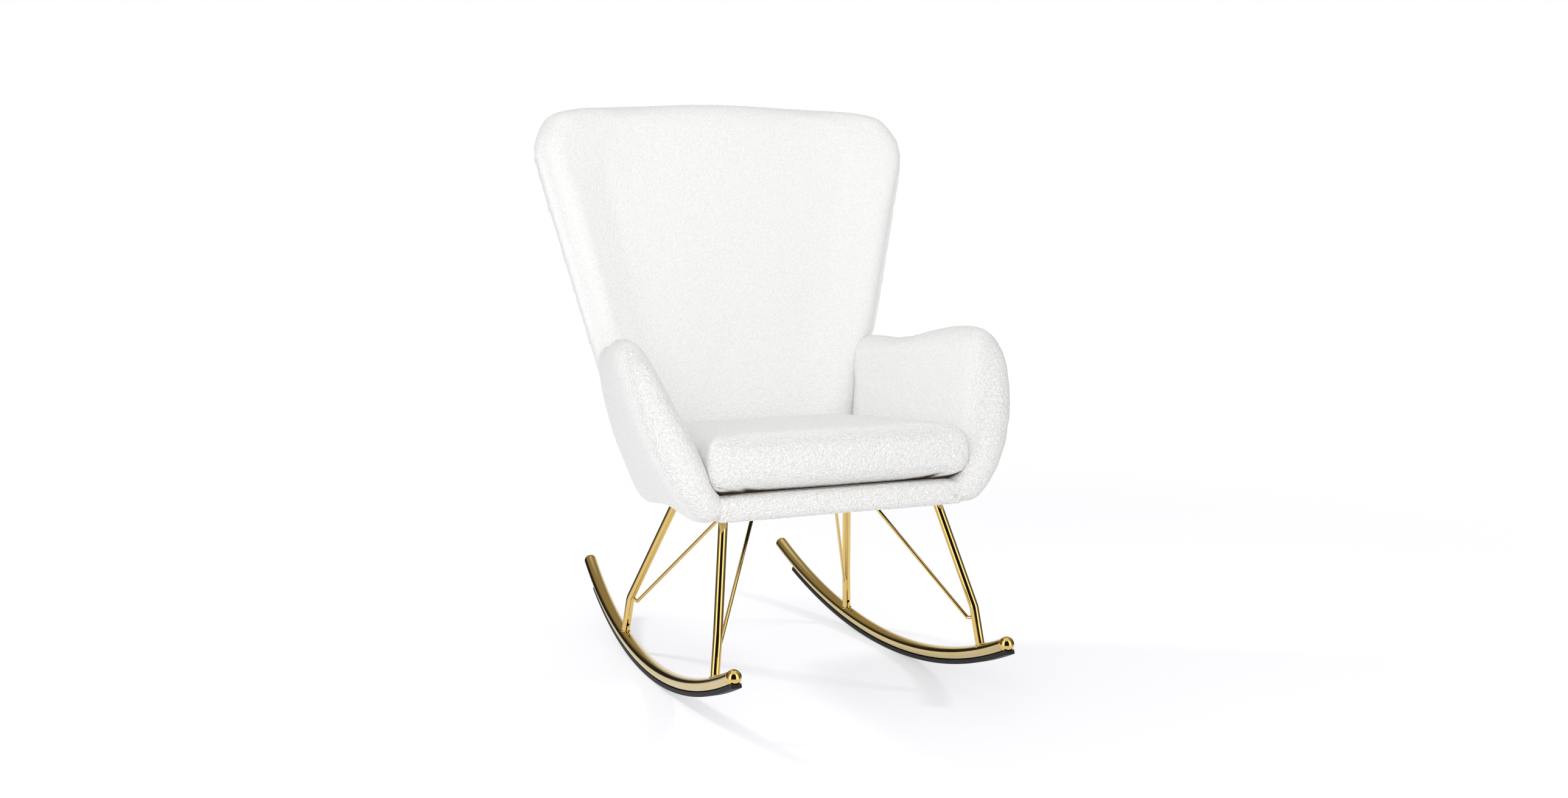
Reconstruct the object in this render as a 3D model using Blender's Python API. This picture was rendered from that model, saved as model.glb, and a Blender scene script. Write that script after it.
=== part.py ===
"""Nursery rocking chair: a padded wing-back tub on a steel rocker base.

Metres, +Z up. The sitter faces -Y. The origin is on the floor, midway between
the runners and under the point where they touch it. Run it in Blender 4.5.
"""
import math

import bmesh
import bpy
from mathutils import Matrix, Vector

# Fits
GAP = 0.0003                    # between pieces that touch
PANEL_CLEARANCE = 0.0015        # round the edges of the let-in panels
CUSHION_CLEARANCE = 0.002       # round the loose cushion

# Runners: round tube bent to one arc, toed out to the front and leaning in at the top
RUNNER_ARC_RADIUS = 1.098
RUNNER_HALF_CHORD = 0.449
RUNNER_HALF_GAP = 0.243         # centre line of the chair to a runner, at the floor
RUNNER_TOE_DEG = 2.13
RUNNER_LEAN_DEG = 5.9
RUNNER_DIAMETER = 0.025
RUNNER_WALL = 0.0015
BALL_DIAMETER = 0.0265
REAR_CAP_LENGTH = 0.009
SPIGOT_LENGTH = 0.018
RUNNER_SPANS = 23               # odd, so that one flat of the arc lies level on the floor
RUNNER_SIDES = 12

# Rubber strips under the runners
STRIP_THICKNESS = 0.006         # below the tube
STRIP_WIDTH = 0.018
STRIP_LIP = 0.0022              # how far the edges hug the tube
STRIP_FRONT_OVERRUN = 0.011
STRIP_REAR_SHORT = 0.074

# Legs: tube with one kink, foot welded on the runner, top welded under a side bar
LEG_DIAMETER = 0.016
LEG_WALL = 0.0012
LEG_SIDES = 12
WELD_HEIGHT = 0.0045
WELD_FLARE = 0.0024
KINK_RADIUS = 0.03
FRONT_FOOT_Y = -0.367
FRONT_KINK_RISE = 0.078         # from the runner's centre line up to the kink
FRONT_KINK_IN = 0.010
FRONT_KINK_BACK = 0.010
REAR_FOOT_Y = 0.158
REAR_KINK_RISE = 0.076
REAR_KINK_IN = 0.0075
REAR_KINK_BACK = -0.014
VENT_DIAMETER = 0.006
VENT_HEIGHT = 0.024             # above the runner's centre line, along the leg

# Brace rods from the legs to the cross plate
BRACE_DIAMETER = 0.0065
BRACE_SIDES = 8
BRACE_STUB = 0.004              # straight stub between the leg and the bend
FRONT_BRACE_RISE = 0.060        # foot of the brace above the runner's centre line
REAR_BRACE_RISE = 0.079

# Seat plane: v runs back along the seat, w up from the padded underside
SEAT_FRONT_Y = -0.335
SEAT_UNDERSIDE_Z = 0.340        # at the front
SEAT_RAKE_DEG = 2.86
STEEL_RECESS = 0.0150           # steel bars above the padded underside
BAR_THICKNESS = 0.005
BAR_WIDTH = 0.020
BAR_OVERHANG = 0.024            # bar past each leg
FRONT_LEG_TOP_U = 0.199
FRONT_LEG_TOP_V = 0.0545
REAR_LEG_TOP_U = 0.1675
REAR_LEG_TOP_V = 0.3490
PLATE_FRONT_V = 0.132
PLATE_DEPTH = 0.117
FRONT_BRACE_TOP_U = 0.1025
FRONT_BRACE_INSET_V = 0.012     # brace weld from the plate's front edge
REAR_BRACE_TOP_U = 0.0868
REAR_BRACE_INSET_V = 0.012      # brace weld from the plate's rear edge
BASE_BOLT_INSET = 0.036         # base bolts from the leg centres, along the bar

# Seat frame of wooden rails, webbing, deck pad, dust cover
DUST_COVER_THICKNESS = 0.0008
DUST_COVER_MARGIN = 0.006
FRAME_THICKNESS = 0.018
RAIL_WIDTH = 0.045
WEBBING_THICKNESS = 0.0012
WEBBING_WIDTH = 0.050
WEBBING_COUNT = 4
WEBBING_PITCH = 0.080
WEBBING_HOLD = 0.030            # webbing stapled over this much of a rail
DECK_PAD_THICKNESS = 0.003
RAIL_PAD_HALF_LENGTH = 0.226    # before the arms' rolled edges are cut out of its ends
RAIL_PAD_DEPTH = 0.030
RAIL_PAD_HEIGHT = 0.0415
RAIL_PAD_ROUND = 0.010

# Bolts
BOLT_DIAMETER = 0.006
BOLT_HEAD_DIAMETER = 0.012
BOLT_HEAD_HEIGHT = 0.004
BOLT_SIDES = 10
BOLT_SHORT_OF = 0.004           # bolt end below the far face
ARM_BOLT_FRONT_V = 0.130
ARM_BOLT_REAR_V = 0.330
BACK_BOLT_PITCH = 0.080

# Arms: a padded slab on a bent sheet x = f(y, z), round at the rim
ARM_FOOT_X = 0.233              # middle of the slab at the front, at the underside
ARM_FLARE = 0.41                # outward lean, metres per metre of height
ARM_BOW = 0.014                 # outward bow at mid height
ARM_SAG = 0.012                 # underside's dip towards the rear
ARM_RISE = 0.298                # front top above the underside
ARM_BACK_RISE = 0.259           # top above the underside's front level, where it meets the back
ARM_FRONT_Y = -0.349
ARM_REAR_Y = 0.165
ARM_PEAK_Y = -0.165
ARM_CREST_DROP = 0.008          # top behind the peak, below it
ARM_DIP_RISE = 0.007            # top at its dip, above the level where it meets the back
ARM_CORNER_DROP = 0.020         # rear corner of the top, below that level
ARM_SLANT_DEPTH = 0.030         # a point on the slanting rear edge, forward of the rear corner
ARM_SLANT_DROP = 0.100          # and below the rear level
ARM_HEEL_DEPTH = 0.080          # lower rear corner, forward of the upper one
ARM_HEEL_RISE = 0.018           # and above the underside
ARM_SOLE_DEPTH = 0.110          # rear end of the underside, forward of the upper rear corner
ARM_TOE_DEPTH = 0.035           # front end of the underside, behind the nose
ARM_TAPER = 0.020               # narrowing from front to rear, at the underside
ARM_TAPER_POWER = 1.7           # little of it near the front
ARM_TAPER_RISE = 0.24           # and more of it per metre of height
ARM_HALF_FRONT = 0.039          # half the slab's thickness
ARM_HALF_REAR = 0.028
ARM_FOOT_THINNING = 0.35        # share of the thickness lost at the underside
ARM_FOOT_RISE = 0.090           # height over which it comes back
ARM_TOP_THINNING = 0.22         # and at the top, from half way up
ARM_MARGIN = 0.016              # rolled rim outside the let-in outside panel
ARM_RECESS = 0.002              # floor of the recess, outwards of the slab's middle
ARM_POINTS = 36

# Back: a padded slab on a sheet y = f(x, z), wings wrapped forward
BACK_TOP_Z = 1.050
BACK_SEAT_Y = 0.1575            # middle of the slab at the underside's front level
BACK_RECLINE = 0.193            # metres back per metre up
BACK_WRAP = 0.071               # wings forward of the middle, at their widest
BACK_WRAP_FOOT = 0.047          # and at the underside
BACK_WRAP_POWER = 4
BACK_HALF = 0.043
BACK_FOOT_HALF_WIDTH = 0.214
BACK_FOOT_ROUND_WIDTH = 0.025   # round corner at the foot
BACK_FOOT_ROUND_RISE = 0.003
BACK_SIDE_RISE = 0.030          # start of the straight side, above the underside's front level
BACK_ELBOW_HALF_WIDTH = 0.287   # where the arms end
BACK_ELBOW_LIFT = 0.001         # above the arms' rear top
BACK_ELBOW_EASE_LOW = 0.100     # the side's bend there eases out this far below
BACK_ELBOW_EASE_HIGH = 0.130    # and above
BACK_WING_HALF_WIDTH = 0.375
BACK_WING_DROP = 0.100          # widest level, below the top
BACK_WING_EASE = 0.090          # straight side ends this far below it
BACK_CORNER_WIDTH = 0.013       # round corner between the widest level and the shoulder
BACK_CORNER_DROP = 0.032
BACK_SHOULDER_HALF_WIDTH = 0.320
BACK_SHOULDER_DROP = 0.017
BACK_ARCH_DROP = 0.006          # top edge half way to the shoulder
BACK_MIDDLE_RISE = 0.110        # flat middle of the padding, above the underside's front level
BACK_MIDDLE_DROP = 0.060        # and below the widest level
BACK_MARGIN = 0.020
BACK_RECESS = -0.004            # floor of the recess, behind the slab's middle
BACK_SHELL = 0.007              # outside panel, inside its thick edge
BACK_EDGE_WIDTH = 0.030         # thick edge of the outside panel
BACK_FRAME_WIDTH = 0.055        # plywood frame round its window
BACK_POINTS = 48

PANEL_THICKNESS = 0.012         # plywood in the arms and the back

# Loose seat cushion
CUSHION_FRONT_V = -0.010
CUSHION_LOWER = 0.042           # underside to the widest line
CUSHION_UPPER_FRONT = 0.053     # widest line to the top, at the front
CUSHION_UPPER_REAR = 0.036
CUSHION_CROWN = 0.012
CUSHION_DRAW_IN = 0.005         # sides pulled in between the corners
CUSHION_SQUARENESS = 18
CUSHION_FRONT_FLARE = 0.012     # front corners bulge past the arms' rolled edge
CUSHION_FLARE_DEPTH = 0.055
CUSHION_EDGE = 0.050
CUSHION_POINTS = 44

CORNER_SHARE = 0.05             # of an outline's length, added per radian of bend
RIM_STEPS = 4                   # facets of a quarter round rim
INNER_SHARES = (0.35, 0.65, 0.9)    # rings between a rim and the middle of a slab

# Finishes: colour, metallic, roughness
GOLD = ((0.83, 0.63, 0.25), 1.0, 0.18)
RUBBER = ((0.02, 0.02, 0.02), 0.0, 0.75)
BOUCLE = ((0.90, 0.89, 0.87), 0.0, 0.95)
PLYWOOD = ((0.62, 0.46, 0.29), 0.0, 0.70)
STEEL = ((0.10, 0.10, 0.10), 0.6, 0.45)
ZINC = ((0.60, 0.61, 0.62), 1.0, 0.35)
WEB = ((0.05, 0.05, 0.06), 0.0, 0.90)
FELT = ((0.75, 0.74, 0.72), 0.0, 0.95)

SIDES = {"left": -1, "right": 1}


def clear_scene():
    for old in list(bpy.data.objects):
        bpy.data.objects.remove(old)


def finish(name, look):
    colour, metallic, roughness = look
    made = bpy.data.materials.new(name)
    made.use_nodes = True
    shader = made.node_tree.nodes["Principled BSDF"]
    shader.inputs["Base Color"].default_value = (*colour, 1.0)
    shader.inputs["Metallic"].default_value = metallic
    shader.inputs["Roughness"].default_value = roughness
    return made


def add_object(name, shape, look, parent=None):
    """Turn a bmesh into a named object with its own finish."""
    bmesh.ops.recalc_face_normals(shape, faces=shape.faces)
    mesh = bpy.data.meshes.new(name)
    shape.to_mesh(mesh)
    shape.free()
    mesh.shade_smooth()
    mesh.set_sharp_from_angle(angle=math.radians(40))
    mesh.materials.append(finish(name, look))
    made = bpy.data.objects.new(name, mesh)
    bpy.context.collection.objects.link(made)
    made.parent = parent
    return made


def add_cutter(name, shape, parent=None):
    made = add_object(name, shape, STEEL, parent)
    made.hide_render = True
    made.display_type = "WIRE"
    return made


def cut(piece, cutter):
    step = piece.modifiers.new("cut " + cutter.name, "BOOLEAN")
    step.operation = "DIFFERENCE"
    step.solver = "EXACT"
    step.object = cutter


def loft(rings, around=False, hubs=None, inwards=()):
    """Skin a row of rings. The ends get a flat cap, a fan about a hub, or each other.

    With hubs the skin is in triangles. Those between rings that run inwards are split
    the same way as those that run outwards, so that neighbours on one sheet bend alike.
    """
    shape = bmesh.new()
    rows = [[shape.verts.new(point) for point in ring] for ring in rings]
    pairs = list(zip(rows, rows[1:]))
    if around:
        pairs.append((rows[-1], rows[0]))
    elif hubs:
        for row, hub in zip((rows[0], rows[-1]), hubs):
            middle = shape.verts.new(hub)
            for i in range(len(row)):
                shape.faces.new((row[i - 1], row[i], middle))
    else:
        shape.faces.new(rows[0])
        shape.faces.new(rows[-1])
    for k, (low, high) in enumerate(pairs):
        for i in range(len(low)):
            a, b, c, d = low[i - 1], low[i], high[i], high[i - 1]
            if not hubs:
                shape.faces.new((a, b, c, d))
            elif inwards[k]:
                shape.faces.new((b, c, d))
                shape.faces.new((b, d, a))
            else:
                shape.faces.new((a, b, c))
                shape.faces.new((a, c, d))
    return shape


def circle(centre, across, up, radius, sides):
    turns = [math.tau * (i + 0.5) / sides for i in range(sides)]
    return [centre + across * (radius * math.cos(t)) + up * (radius * math.sin(t)) for t in turns]


def turned(profile, sides):
    """Solid turned about +Z from (radius, height) pairs between two points on the axis."""
    rings = [circle(Vector((0, 0, h)), Vector((1, 0, 0)), Vector((0, 1, 0)), r, sides)
             for r, h in profile if r > 0]
    shape = loft(rings)
    return shape


def aim(origin, direction):
    """Matrix that puts +Z along a direction, with +X kept level."""
    up = direction.normalized()
    side = up.orthogonal().normalized() if abs(up.z) > 0.999 else Vector((0, 0, 1)).cross(up).normalized()
    other = up.cross(side)
    return Matrix((
        (side.x, other.x, up.x, origin.x),
        (side.y, other.y, up.y, origin.y),
        (side.z, other.z, up.z, origin.z),
        (0, 0, 0, 1),
    ))


def prism(corners, low, high):
    """Upright block on a flat outline of (u, v) corners."""
    return loft([[Vector((u, v, level)) for u, v in corners] for level in (low, high)])


# Seat plane
RAKE = math.radians(SEAT_RAKE_DEG)
SEAT_MATRIX = Matrix.Translation((0, SEAT_FRONT_Y, SEAT_UNDERSIDE_Z)) @ Matrix.Rotation(-RAKE, 4, "X")
SEAT_UP = (SEAT_MATRIX.to_3x3() @ Vector((0, 0, 1))).normalized()

BAR_LOW = STEEL_RECESS
COVER_LOW = BAR_LOW + BAR_THICKNESS + GAP
FRAME_LOW = COVER_LOW + DUST_COVER_THICKNESS + GAP
FRAME_TOP = FRAME_LOW + FRAME_THICKNESS
WEBBING_LOW = FRAME_TOP + GAP
DECK_LOW = WEBBING_LOW + WEBBING_THICKNESS + GAP
CUSHION_LOW = DECK_LOW + DECK_PAD_THICKNESS + GAP
FRAME_MIDDLE = FRAME_LOW + FRAME_THICKNESS / 2


def seat_point(u, v, w):
    return SEAT_MATRIX @ Vector((u, v, w))


def underside_z(y):
    return SEAT_UNDERSIDE_Z - (y - SEAT_FRONT_Y) * math.tan(RAKE)


# Runners
RUNNER_RADIUS = RUNNER_DIAMETER / 2
BORE_RADIUS = RUNNER_RADIUS - RUNNER_WALL
RUNNER_LOW_Z = STRIP_THICKNESS + GAP + RUNNER_RADIUS
END_ANGLE = math.asin(RUNNER_HALF_CHORD / RUNNER_ARC_RADIUS)


def runner_axes(side):
    """Directions along and up the plane of a runner's arc."""
    along = Vector((-side * math.tan(math.radians(RUNNER_TOE_DEG)), 1, 0)).normalized()
    up = Vector((-side * math.tan(math.radians(RUNNER_LEAN_DEG)), 0, 1))
    up = (up - along * up.dot(along)).normalized()
    return along, up


def runner_point(side, angle, drop=0.0):
    """Point on a runner's centre line, or further out from the arc's centre by drop."""
    along, up = runner_axes(side)
    start = Vector((side * RUNNER_HALF_GAP, 0, RUNNER_LOW_Z))
    reach = RUNNER_ARC_RADIUS + drop
    return start + along * (reach * math.sin(angle)) + up * (RUNNER_ARC_RADIUS - reach * math.cos(angle))


def runner_tangent(side, angle):
    along, up = runner_axes(side)
    return along * math.cos(angle) + up * math.sin(angle)


def runner_frame(side, angle):
    """Level sideways direction, and the direction square to it and to the runner."""
    ahead = runner_tangent(side, angle)
    across = ahead.cross(Vector((0, 0, 1))).normalized()
    return across, across.cross(ahead)


def runner_rings(side, radius, overrun=0.0):
    spread = overrun / RUNNER_ARC_RADIUS
    first = -END_ANGLE - spread
    step = 2 * (END_ANGLE + spread) / RUNNER_SPANS
    angles = [first + step * i for i in range(RUNNER_SPANS + 1)]
    return [circle(runner_point(side, a), *runner_frame(side, a), radius, RUNNER_SIDES) for a in angles]


def angle_at_y(y, side):
    along, _ = runner_axes(side)
    return math.asin(y / (along.y * RUNNER_ARC_RADIUS))


def build_runner(label, side):
    outer = runner_rings(side, RUNNER_RADIUS)
    bore = runner_rings(side, BORE_RADIUS)
    add_object(f"runner_{label}", loft(outer + bore[::-1], around=True), GOLD)

    ball = BALL_DIAMETER / 2
    reach = math.sqrt(ball ** 2 - RUNNER_RADIUS ** 2)
    plug = BORE_RADIUS - 2 * GAP
    profile = [(plug, -SPIGOT_LENGTH), (plug, GAP)]
    first = math.atan2(reach, RUNNER_RADIUS)
    bands = 8
    tip = 0.0012
    for i in range(bands + 1):
        turn = -first + (math.pi / 2 + first) * i / bands
        profile.append((max(ball * math.cos(turn), tip), GAP + reach + ball * math.sin(turn)))
    front = turned(profile, RUNNER_SIDES)
    front.transform(aim(runner_point(side, -END_ANGLE), -runner_tangent(side, -END_ANGLE)))
    add_object(f"runner_front_ball_{label}", front, GOLD)
    turns = [math.pi * (i / bands - 0.5) for i in range(bands + 1)]
    grown = ball + 3 * GAP
    room = turned([(max(grown * math.cos(t), tip), grown * math.sin(t)) for t in turns], 2 * RUNNER_SIDES)
    ahead = runner_tangent(side, -END_ANGLE)
    room.transform(aim(runner_point(side, -END_ANGLE) - ahead * (GAP + reach), ahead))
    ball_room = add_cutter(f"ball_room_{label}", room)

    profile = [(plug, -SPIGOT_LENGTH), (plug, GAP)]
    bands = 4
    for i in range(bands + 1):
        turn = math.pi / 2 * i / bands
        profile.append((max(RUNNER_RADIUS * math.cos(turn), tip), GAP + REAR_CAP_LENGTH * math.sin(turn)))
    rear = turned(profile, RUNNER_SIDES)
    rear.transform(aim(runner_point(side, END_ANGLE), runner_tangent(side, END_ANGLE)))
    add_object(f"runner_rear_cap_{label}", rear, GOLD)
    return ball_room


def build_strip(label, side, ball_room):
    """Rubber strip with a flat sole and a hollow top that hugs the tube."""
    half = STRIP_WIDTH / 2
    seat = RUNNER_RADIUS + GAP
    sole = -seat - STRIP_THICKNESS
    edge = -math.sqrt(seat ** 2 - half ** 2) - GAP
    foot = min(edge, -seat + STRIP_LIP)
    steps = 4
    profile = [(-half, sole), (half, sole), (half, foot)]
    for i in range(1, steps):
        across = half - STRIP_WIDTH * i / steps
        profile.append((across, -math.sqrt(seat ** 2 - across ** 2) - GAP))
    profile.append((-half, foot))
    pitch = 2 * END_ANGLE / RUNNER_SPANS
    front = -END_ANGLE - STRIP_FRONT_OVERRUN / RUNNER_ARC_RADIUS
    rear = END_ANGLE - STRIP_REAR_SHORT / RUNNER_ARC_RADIUS
    joints = [-END_ANGLE + pitch * i for i in range(RUNNER_SPANS + 1)]
    angles = [front] + [a for a in joints if front + pitch / 4 < a < rear - pitch / 4] + [rear]
    rings = []
    for angle in angles:
        centre = runner_point(side, angle)
        across, up = runner_frame(side, angle)
        if up.z < 0:
            across, up = -across, -up
        rings.append([centre + across * a + up * h for a, h in profile])
    cut(add_object(f"anti_slip_strip_{label}", loft(rings), RUBBER), ball_room)


# Legs and braces
LEG_RADIUS = LEG_DIAMETER / 2
LEG_BORE = LEG_RADIUS - LEG_WALL
LEGS = {
    "front": (FRONT_FOOT_Y, FRONT_KINK_RISE, FRONT_KINK_IN, FRONT_KINK_BACK,
              FRONT_LEG_TOP_U, FRONT_LEG_TOP_V),
    "rear": (REAR_FOOT_Y, REAR_KINK_RISE, REAR_KINK_IN, REAR_KINK_BACK,
             REAR_LEG_TOP_U, REAR_LEG_TOP_V),
}
BRACES = {
    "front": (FRONT_BRACE_RISE, FRONT_BRACE_TOP_U, PLATE_FRONT_V + FRONT_BRACE_INSET_V),
    "rear": (REAR_BRACE_RISE, REAR_BRACE_TOP_U, PLATE_FRONT_V + PLATE_DEPTH - REAR_BRACE_INSET_V),
}


def leg_points(end, side):
    """Foot on the runner's centre line, kink, and top under the side bar."""
    foot_y, rise, inwards, back, top_u, top_v = LEGS[end]
    foot = runner_point(side, angle_at_y(foot_y, side))
    kink = foot + Vector((-side * inwards, back, rise))
    top = seat_point(side * top_u, top_v, BAR_LOW - GAP)
    return foot, kink, top


def bent_path(start, corner, finish_point, radius, steps=4):
    """Straight, arc, straight through three points; returns points and the directions there."""
    first = (corner - start).normalized()
    last = (finish_point - corner).normalized()
    bend = first.angle(last)
    setback = radius * math.tan(bend / 2)
    turn_axis = first.cross(last).normalized()
    inward = turn_axis.cross(first)
    centre = corner - first * setback + inward * radius
    path = [(start, first)]
    for i in range(steps + 1):
        turn = Matrix.Rotation(bend * i / steps, 3, turn_axis)
        path.append((centre + turn @ (-inward * radius), turn @ first))
    path.append((finish_point, last))
    return path, turn_axis


def trimmed_ring(ring, direction, point, normal):
    """Slide each point of a ring along a direction onto a plane."""
    return [p + direction * ((point - p).dot(normal) / direction.dot(normal)) for p in ring]


def tube_rings(path, side_axis, radius, sides, top_plane):
    rings = []
    for i, (point, ahead) in enumerate(path):
        size = radius[i] if isinstance(radius, list) else radius
        rings.append(circle(point, side_axis, ahead.cross(side_axis).normalized(), size, sides))
    point, normal = top_plane
    rings[-1] = trimmed_ring(rings[-1], path[-1][1], point, normal)
    return rings


def build_leg(end, label, side, runner_cutter):
    foot, kink, top = leg_points(end, side)
    path, axis = bent_path(foot, kink, top, KINK_RADIUS)
    first = path[0][1]
    weld = [RUNNER_RADIUS + GAP, RUNNER_RADIUS + GAP + WELD_HEIGHT]
    path[1:1] = [(foot + first * reach, first) for reach in weld]
    radius = [LEG_RADIUS + WELD_FLARE] * 2 + [LEG_RADIUS] * (len(path) - 2)
    plane = (top, SEAT_UP)
    outer = tube_rings(path, axis, radius, LEG_SIDES, plane)
    bore = tube_rings(path, axis, LEG_BORE, LEG_SIDES, plane)
    leg = add_object(f"leg_{end}_{label}", loft(outer + bore[::-1], around=True), GOLD)
    cut(leg, runner_cutter)
    if end == "rear":
        hole = turned([(VENT_DIAMETER / 2, 0), (VENT_DIAMETER / 2, LEG_DIAMETER)], BOLT_SIDES)
        hole.transform(aim(foot + first * VENT_HEIGHT, Vector((0, -1, 0))))
        cut(leg, add_cutter(f"vent_{label}", hole))


def leg_axis_at(end, side, rise):
    """Point on a leg's axis at a rise above its foot, and the axis direction there."""
    foot, kink, top = leg_points(end, side)
    low, high = (foot, kink) if foot.z + rise < kink.z else (kink, top)
    ahead = (high - low).normalized()
    return low + ahead * ((foot.z + rise - low.z) / ahead.z), ahead


def build_brace(end, label, side):
    rise, top_u, top_v = BRACES[end]
    on_leg, leg_ahead = leg_axis_at(end, side, rise)
    top = seat_point(side * top_u, top_v, BAR_LOW - GAP)
    out = top - on_leg
    out = (out - leg_ahead * out.dot(leg_ahead)).normalized()
    radius = BRACE_DIAMETER / 2
    start = on_leg + out * (LEG_RADIUS + 2 * GAP)
    corner = start + out * (BRACE_STUB + radius)
    path, axis = bent_path(start, corner, top, radius * 1.6, steps=3)
    rings = tube_rings(path, axis, radius, BRACE_SIDES, (top, SEAT_UP))
    add_object(f"brace_{end}_{label}", loft(rings), GOLD)


# Arms
def arm_share(y):
    return (y - ARM_FRONT_Y) / (ARM_REAR_Y - ARM_FRONT_Y)


def arm_x(y, z):
    """Middle of the right arm's slab."""
    up = z - SEAT_UNDERSIDE_Z
    along = arm_share(y)
    bow = ARM_BOW * math.sin(math.pi * min(max(up / ARM_RISE, 0), 1)) * (1 - along)
    taper = max(along, 0) ** ARM_TAPER_POWER * (ARM_TAPER + ARM_TAPER_RISE * up)
    return ARM_FOOT_X + ARM_FLARE * up + bow - taper


def arm_half(y, z):
    full = ARM_HALF_FRONT + (ARM_HALF_REAR - ARM_HALF_FRONT) * min(max(arm_share(y), 0), 1)
    near_foot = 1 - min(max((z - SEAT_UNDERSIDE_Z) / ARM_FOOT_RISE, 0), 1)
    near_top = min(max((z - SEAT_UNDERSIDE_Z) / ARM_RISE * 2 - 1, 0), 1)
    return full * (1 - ARM_FOOT_THINNING * near_foot - ARM_TOP_THINNING * near_top)


def arm_half_grown(y, z):
    return arm_half(y, z) + 2 * GAP


def arm_sheet(y, z):
    """Point on the slab's middle and the outward normal there."""
    step = 0.002
    lean_y = (arm_x(y + step, z) - arm_x(y - step, z)) / (2 * step)
    lean_z = (arm_x(y, z + step) - arm_x(y, z - step)) / (2 * step)
    return Vector((arm_x(y, z), y, z)), Vector((1, -lean_y, -lean_z)).normalized()


def smooth_loop(keys, count):
    """Points on a closed Catmull-Rom curve through the keys, closer together where it bends."""
    keys = [Vector((a, b, 0)) for a, b in keys]
    fine = []
    total = len(keys)
    per_key = 16
    for i in range(total):
        p0, p1, p2, p3 = (keys[(i + k) % total] for k in (-1, 0, 1, 2))
        for j in range(per_key):
            t = j / per_key
            fine.append(0.5 * (2 * p1 + (p2 - p0) * t + (2 * p0 - 5 * p1 + 4 * p2 - p3) * t ** 2
                               + (3 * p1 - p0 - 3 * p2 + p3) * t ** 3))
    steps = [b - a for a, b in zip(fine, fine[1:] + fine[:1])]
    around = sum(step.length for step in steps)
    lengths = [0.0]
    for before, step in zip(steps[-1:] + steps, steps):
        lengths.append(lengths[-1] + step.length + around * CORNER_SHARE * before.angle(step))
    points, k = [], 0
    for i in range(count):
        goal = lengths[-1] * i / count
        while lengths[k + 1] < goal:
            k += 1
        share = (goal - lengths[k]) / (lengths[k + 1] - lengths[k])
        here = fine[k].lerp(fine[(k + 1) % len(fine)], share)
        points.append((here.x, here.y))
    return points


def arm_outline():
    """Side view of an arm: nose, sweep up to the peak, dip, and the end against the back."""
    top = SEAT_UNDERSIDE_Z + ARM_RISE
    back_top = SEAT_UNDERSIDE_Z + ARM_BACK_RISE
    span = ARM_PEAK_Y - ARM_FRONT_Y
    front = [(0.01, 0.13), (0.05, 0.36), (0.14, 0.52), (0.27, 0.69), (0.46, 0.86), (0.72, 0.97)]
    keys = [(ARM_FRONT_Y + span * a, SEAT_UNDERSIDE_Z + ARM_RISE * b) for a, b in front]
    keys += [(ARM_PEAK_Y, top), (ARM_PEAK_Y * 0.55, top - ARM_CREST_DROP)]
    keys += [(ARM_REAR_Y * 0.1, back_top + ARM_DIP_RISE), (ARM_REAR_Y * 0.7, back_top)]
    keys += [(ARM_REAR_Y, back_top - ARM_CORNER_DROP)]
    keys += [(ARM_REAR_Y - ARM_SLANT_DEPTH, back_top - ARM_SLANT_DROP)]
    keys += [(ARM_REAR_Y - ARM_HEEL_DEPTH, underside_z(ARM_REAR_Y) + ARM_HEEL_RISE)]
    dips = [(ARM_REAR_Y - ARM_SOLE_DEPTH, 1.0), (ARM_PEAK_Y * 0.4, 0.5)]
    dips += [(ARM_PEAK_Y, 0.0), (ARM_FRONT_Y + ARM_TOE_DEPTH, 0.0)]
    keys += [(y, underside_z(y) - ARM_SAG * dip) for y, dip in dips]
    return smooth_loop(keys, ARM_POINTS)


def drawn_in(point, box, inset, share):
    """Move an outline point towards a middle box: by a length, then by a share of the rest."""
    a, b = point
    (a_low, a_high), (b_low, b_high) = box
    home = Vector((min(max(a, a_low), a_high), min(max(b, b_low), b_high)))
    here = Vector((a, b))
    reach = home - here
    here = here + reach.normalized() * inset
    return tuple(here + (home - here) * share)


def slab(outline, box, sheet, rows, side=1):
    """Closed solid from rings drawn in from an outline and lifted off a sheet."""

    def lifted(a, b, lift):
        on_sheet, normal = sheet(a, b)
        place = on_sheet + normal * lift(a, b)
        return Vector((place.x * side, place.y, place.z))

    rings = []
    for inset, share, lift in rows:
        rings.append([lifted(*drawn_in(point, box, inset, share), lift) for point in outline])
    middle = [sum(limits) / 2 for limits in box]
    hubs = [lifted(*middle, row[2]) for row in (rows[0], rows[-1])]
    depth = [(inset, share, -lift(*middle)) for inset, share, lift in rows]
    inwards = [after > before for before, after in zip(depth, depth[1:])]
    return loft(rings, hubs=hubs, inwards=inwards)


def rim_rows(radius, half, outward):
    """Quarter round from the rim to full thickness, as rows of a slab."""
    rows = []
    for i in range(1, RIM_STEPS + 1):
        turn = math.pi / 2 * i / RIM_STEPS
        rise = math.sin(turn)
        rows.append((radius * (1 - math.cos(turn)), 0.0, lambda a, b, k=rise: outward * k * half(a, b)))
    return rows


def rim_height(inset, radius):
    """Share of the full thickness at a distance in from the rim."""
    return math.sqrt(1 - (1 - min(inset / radius, 1)) ** 2)


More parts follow.
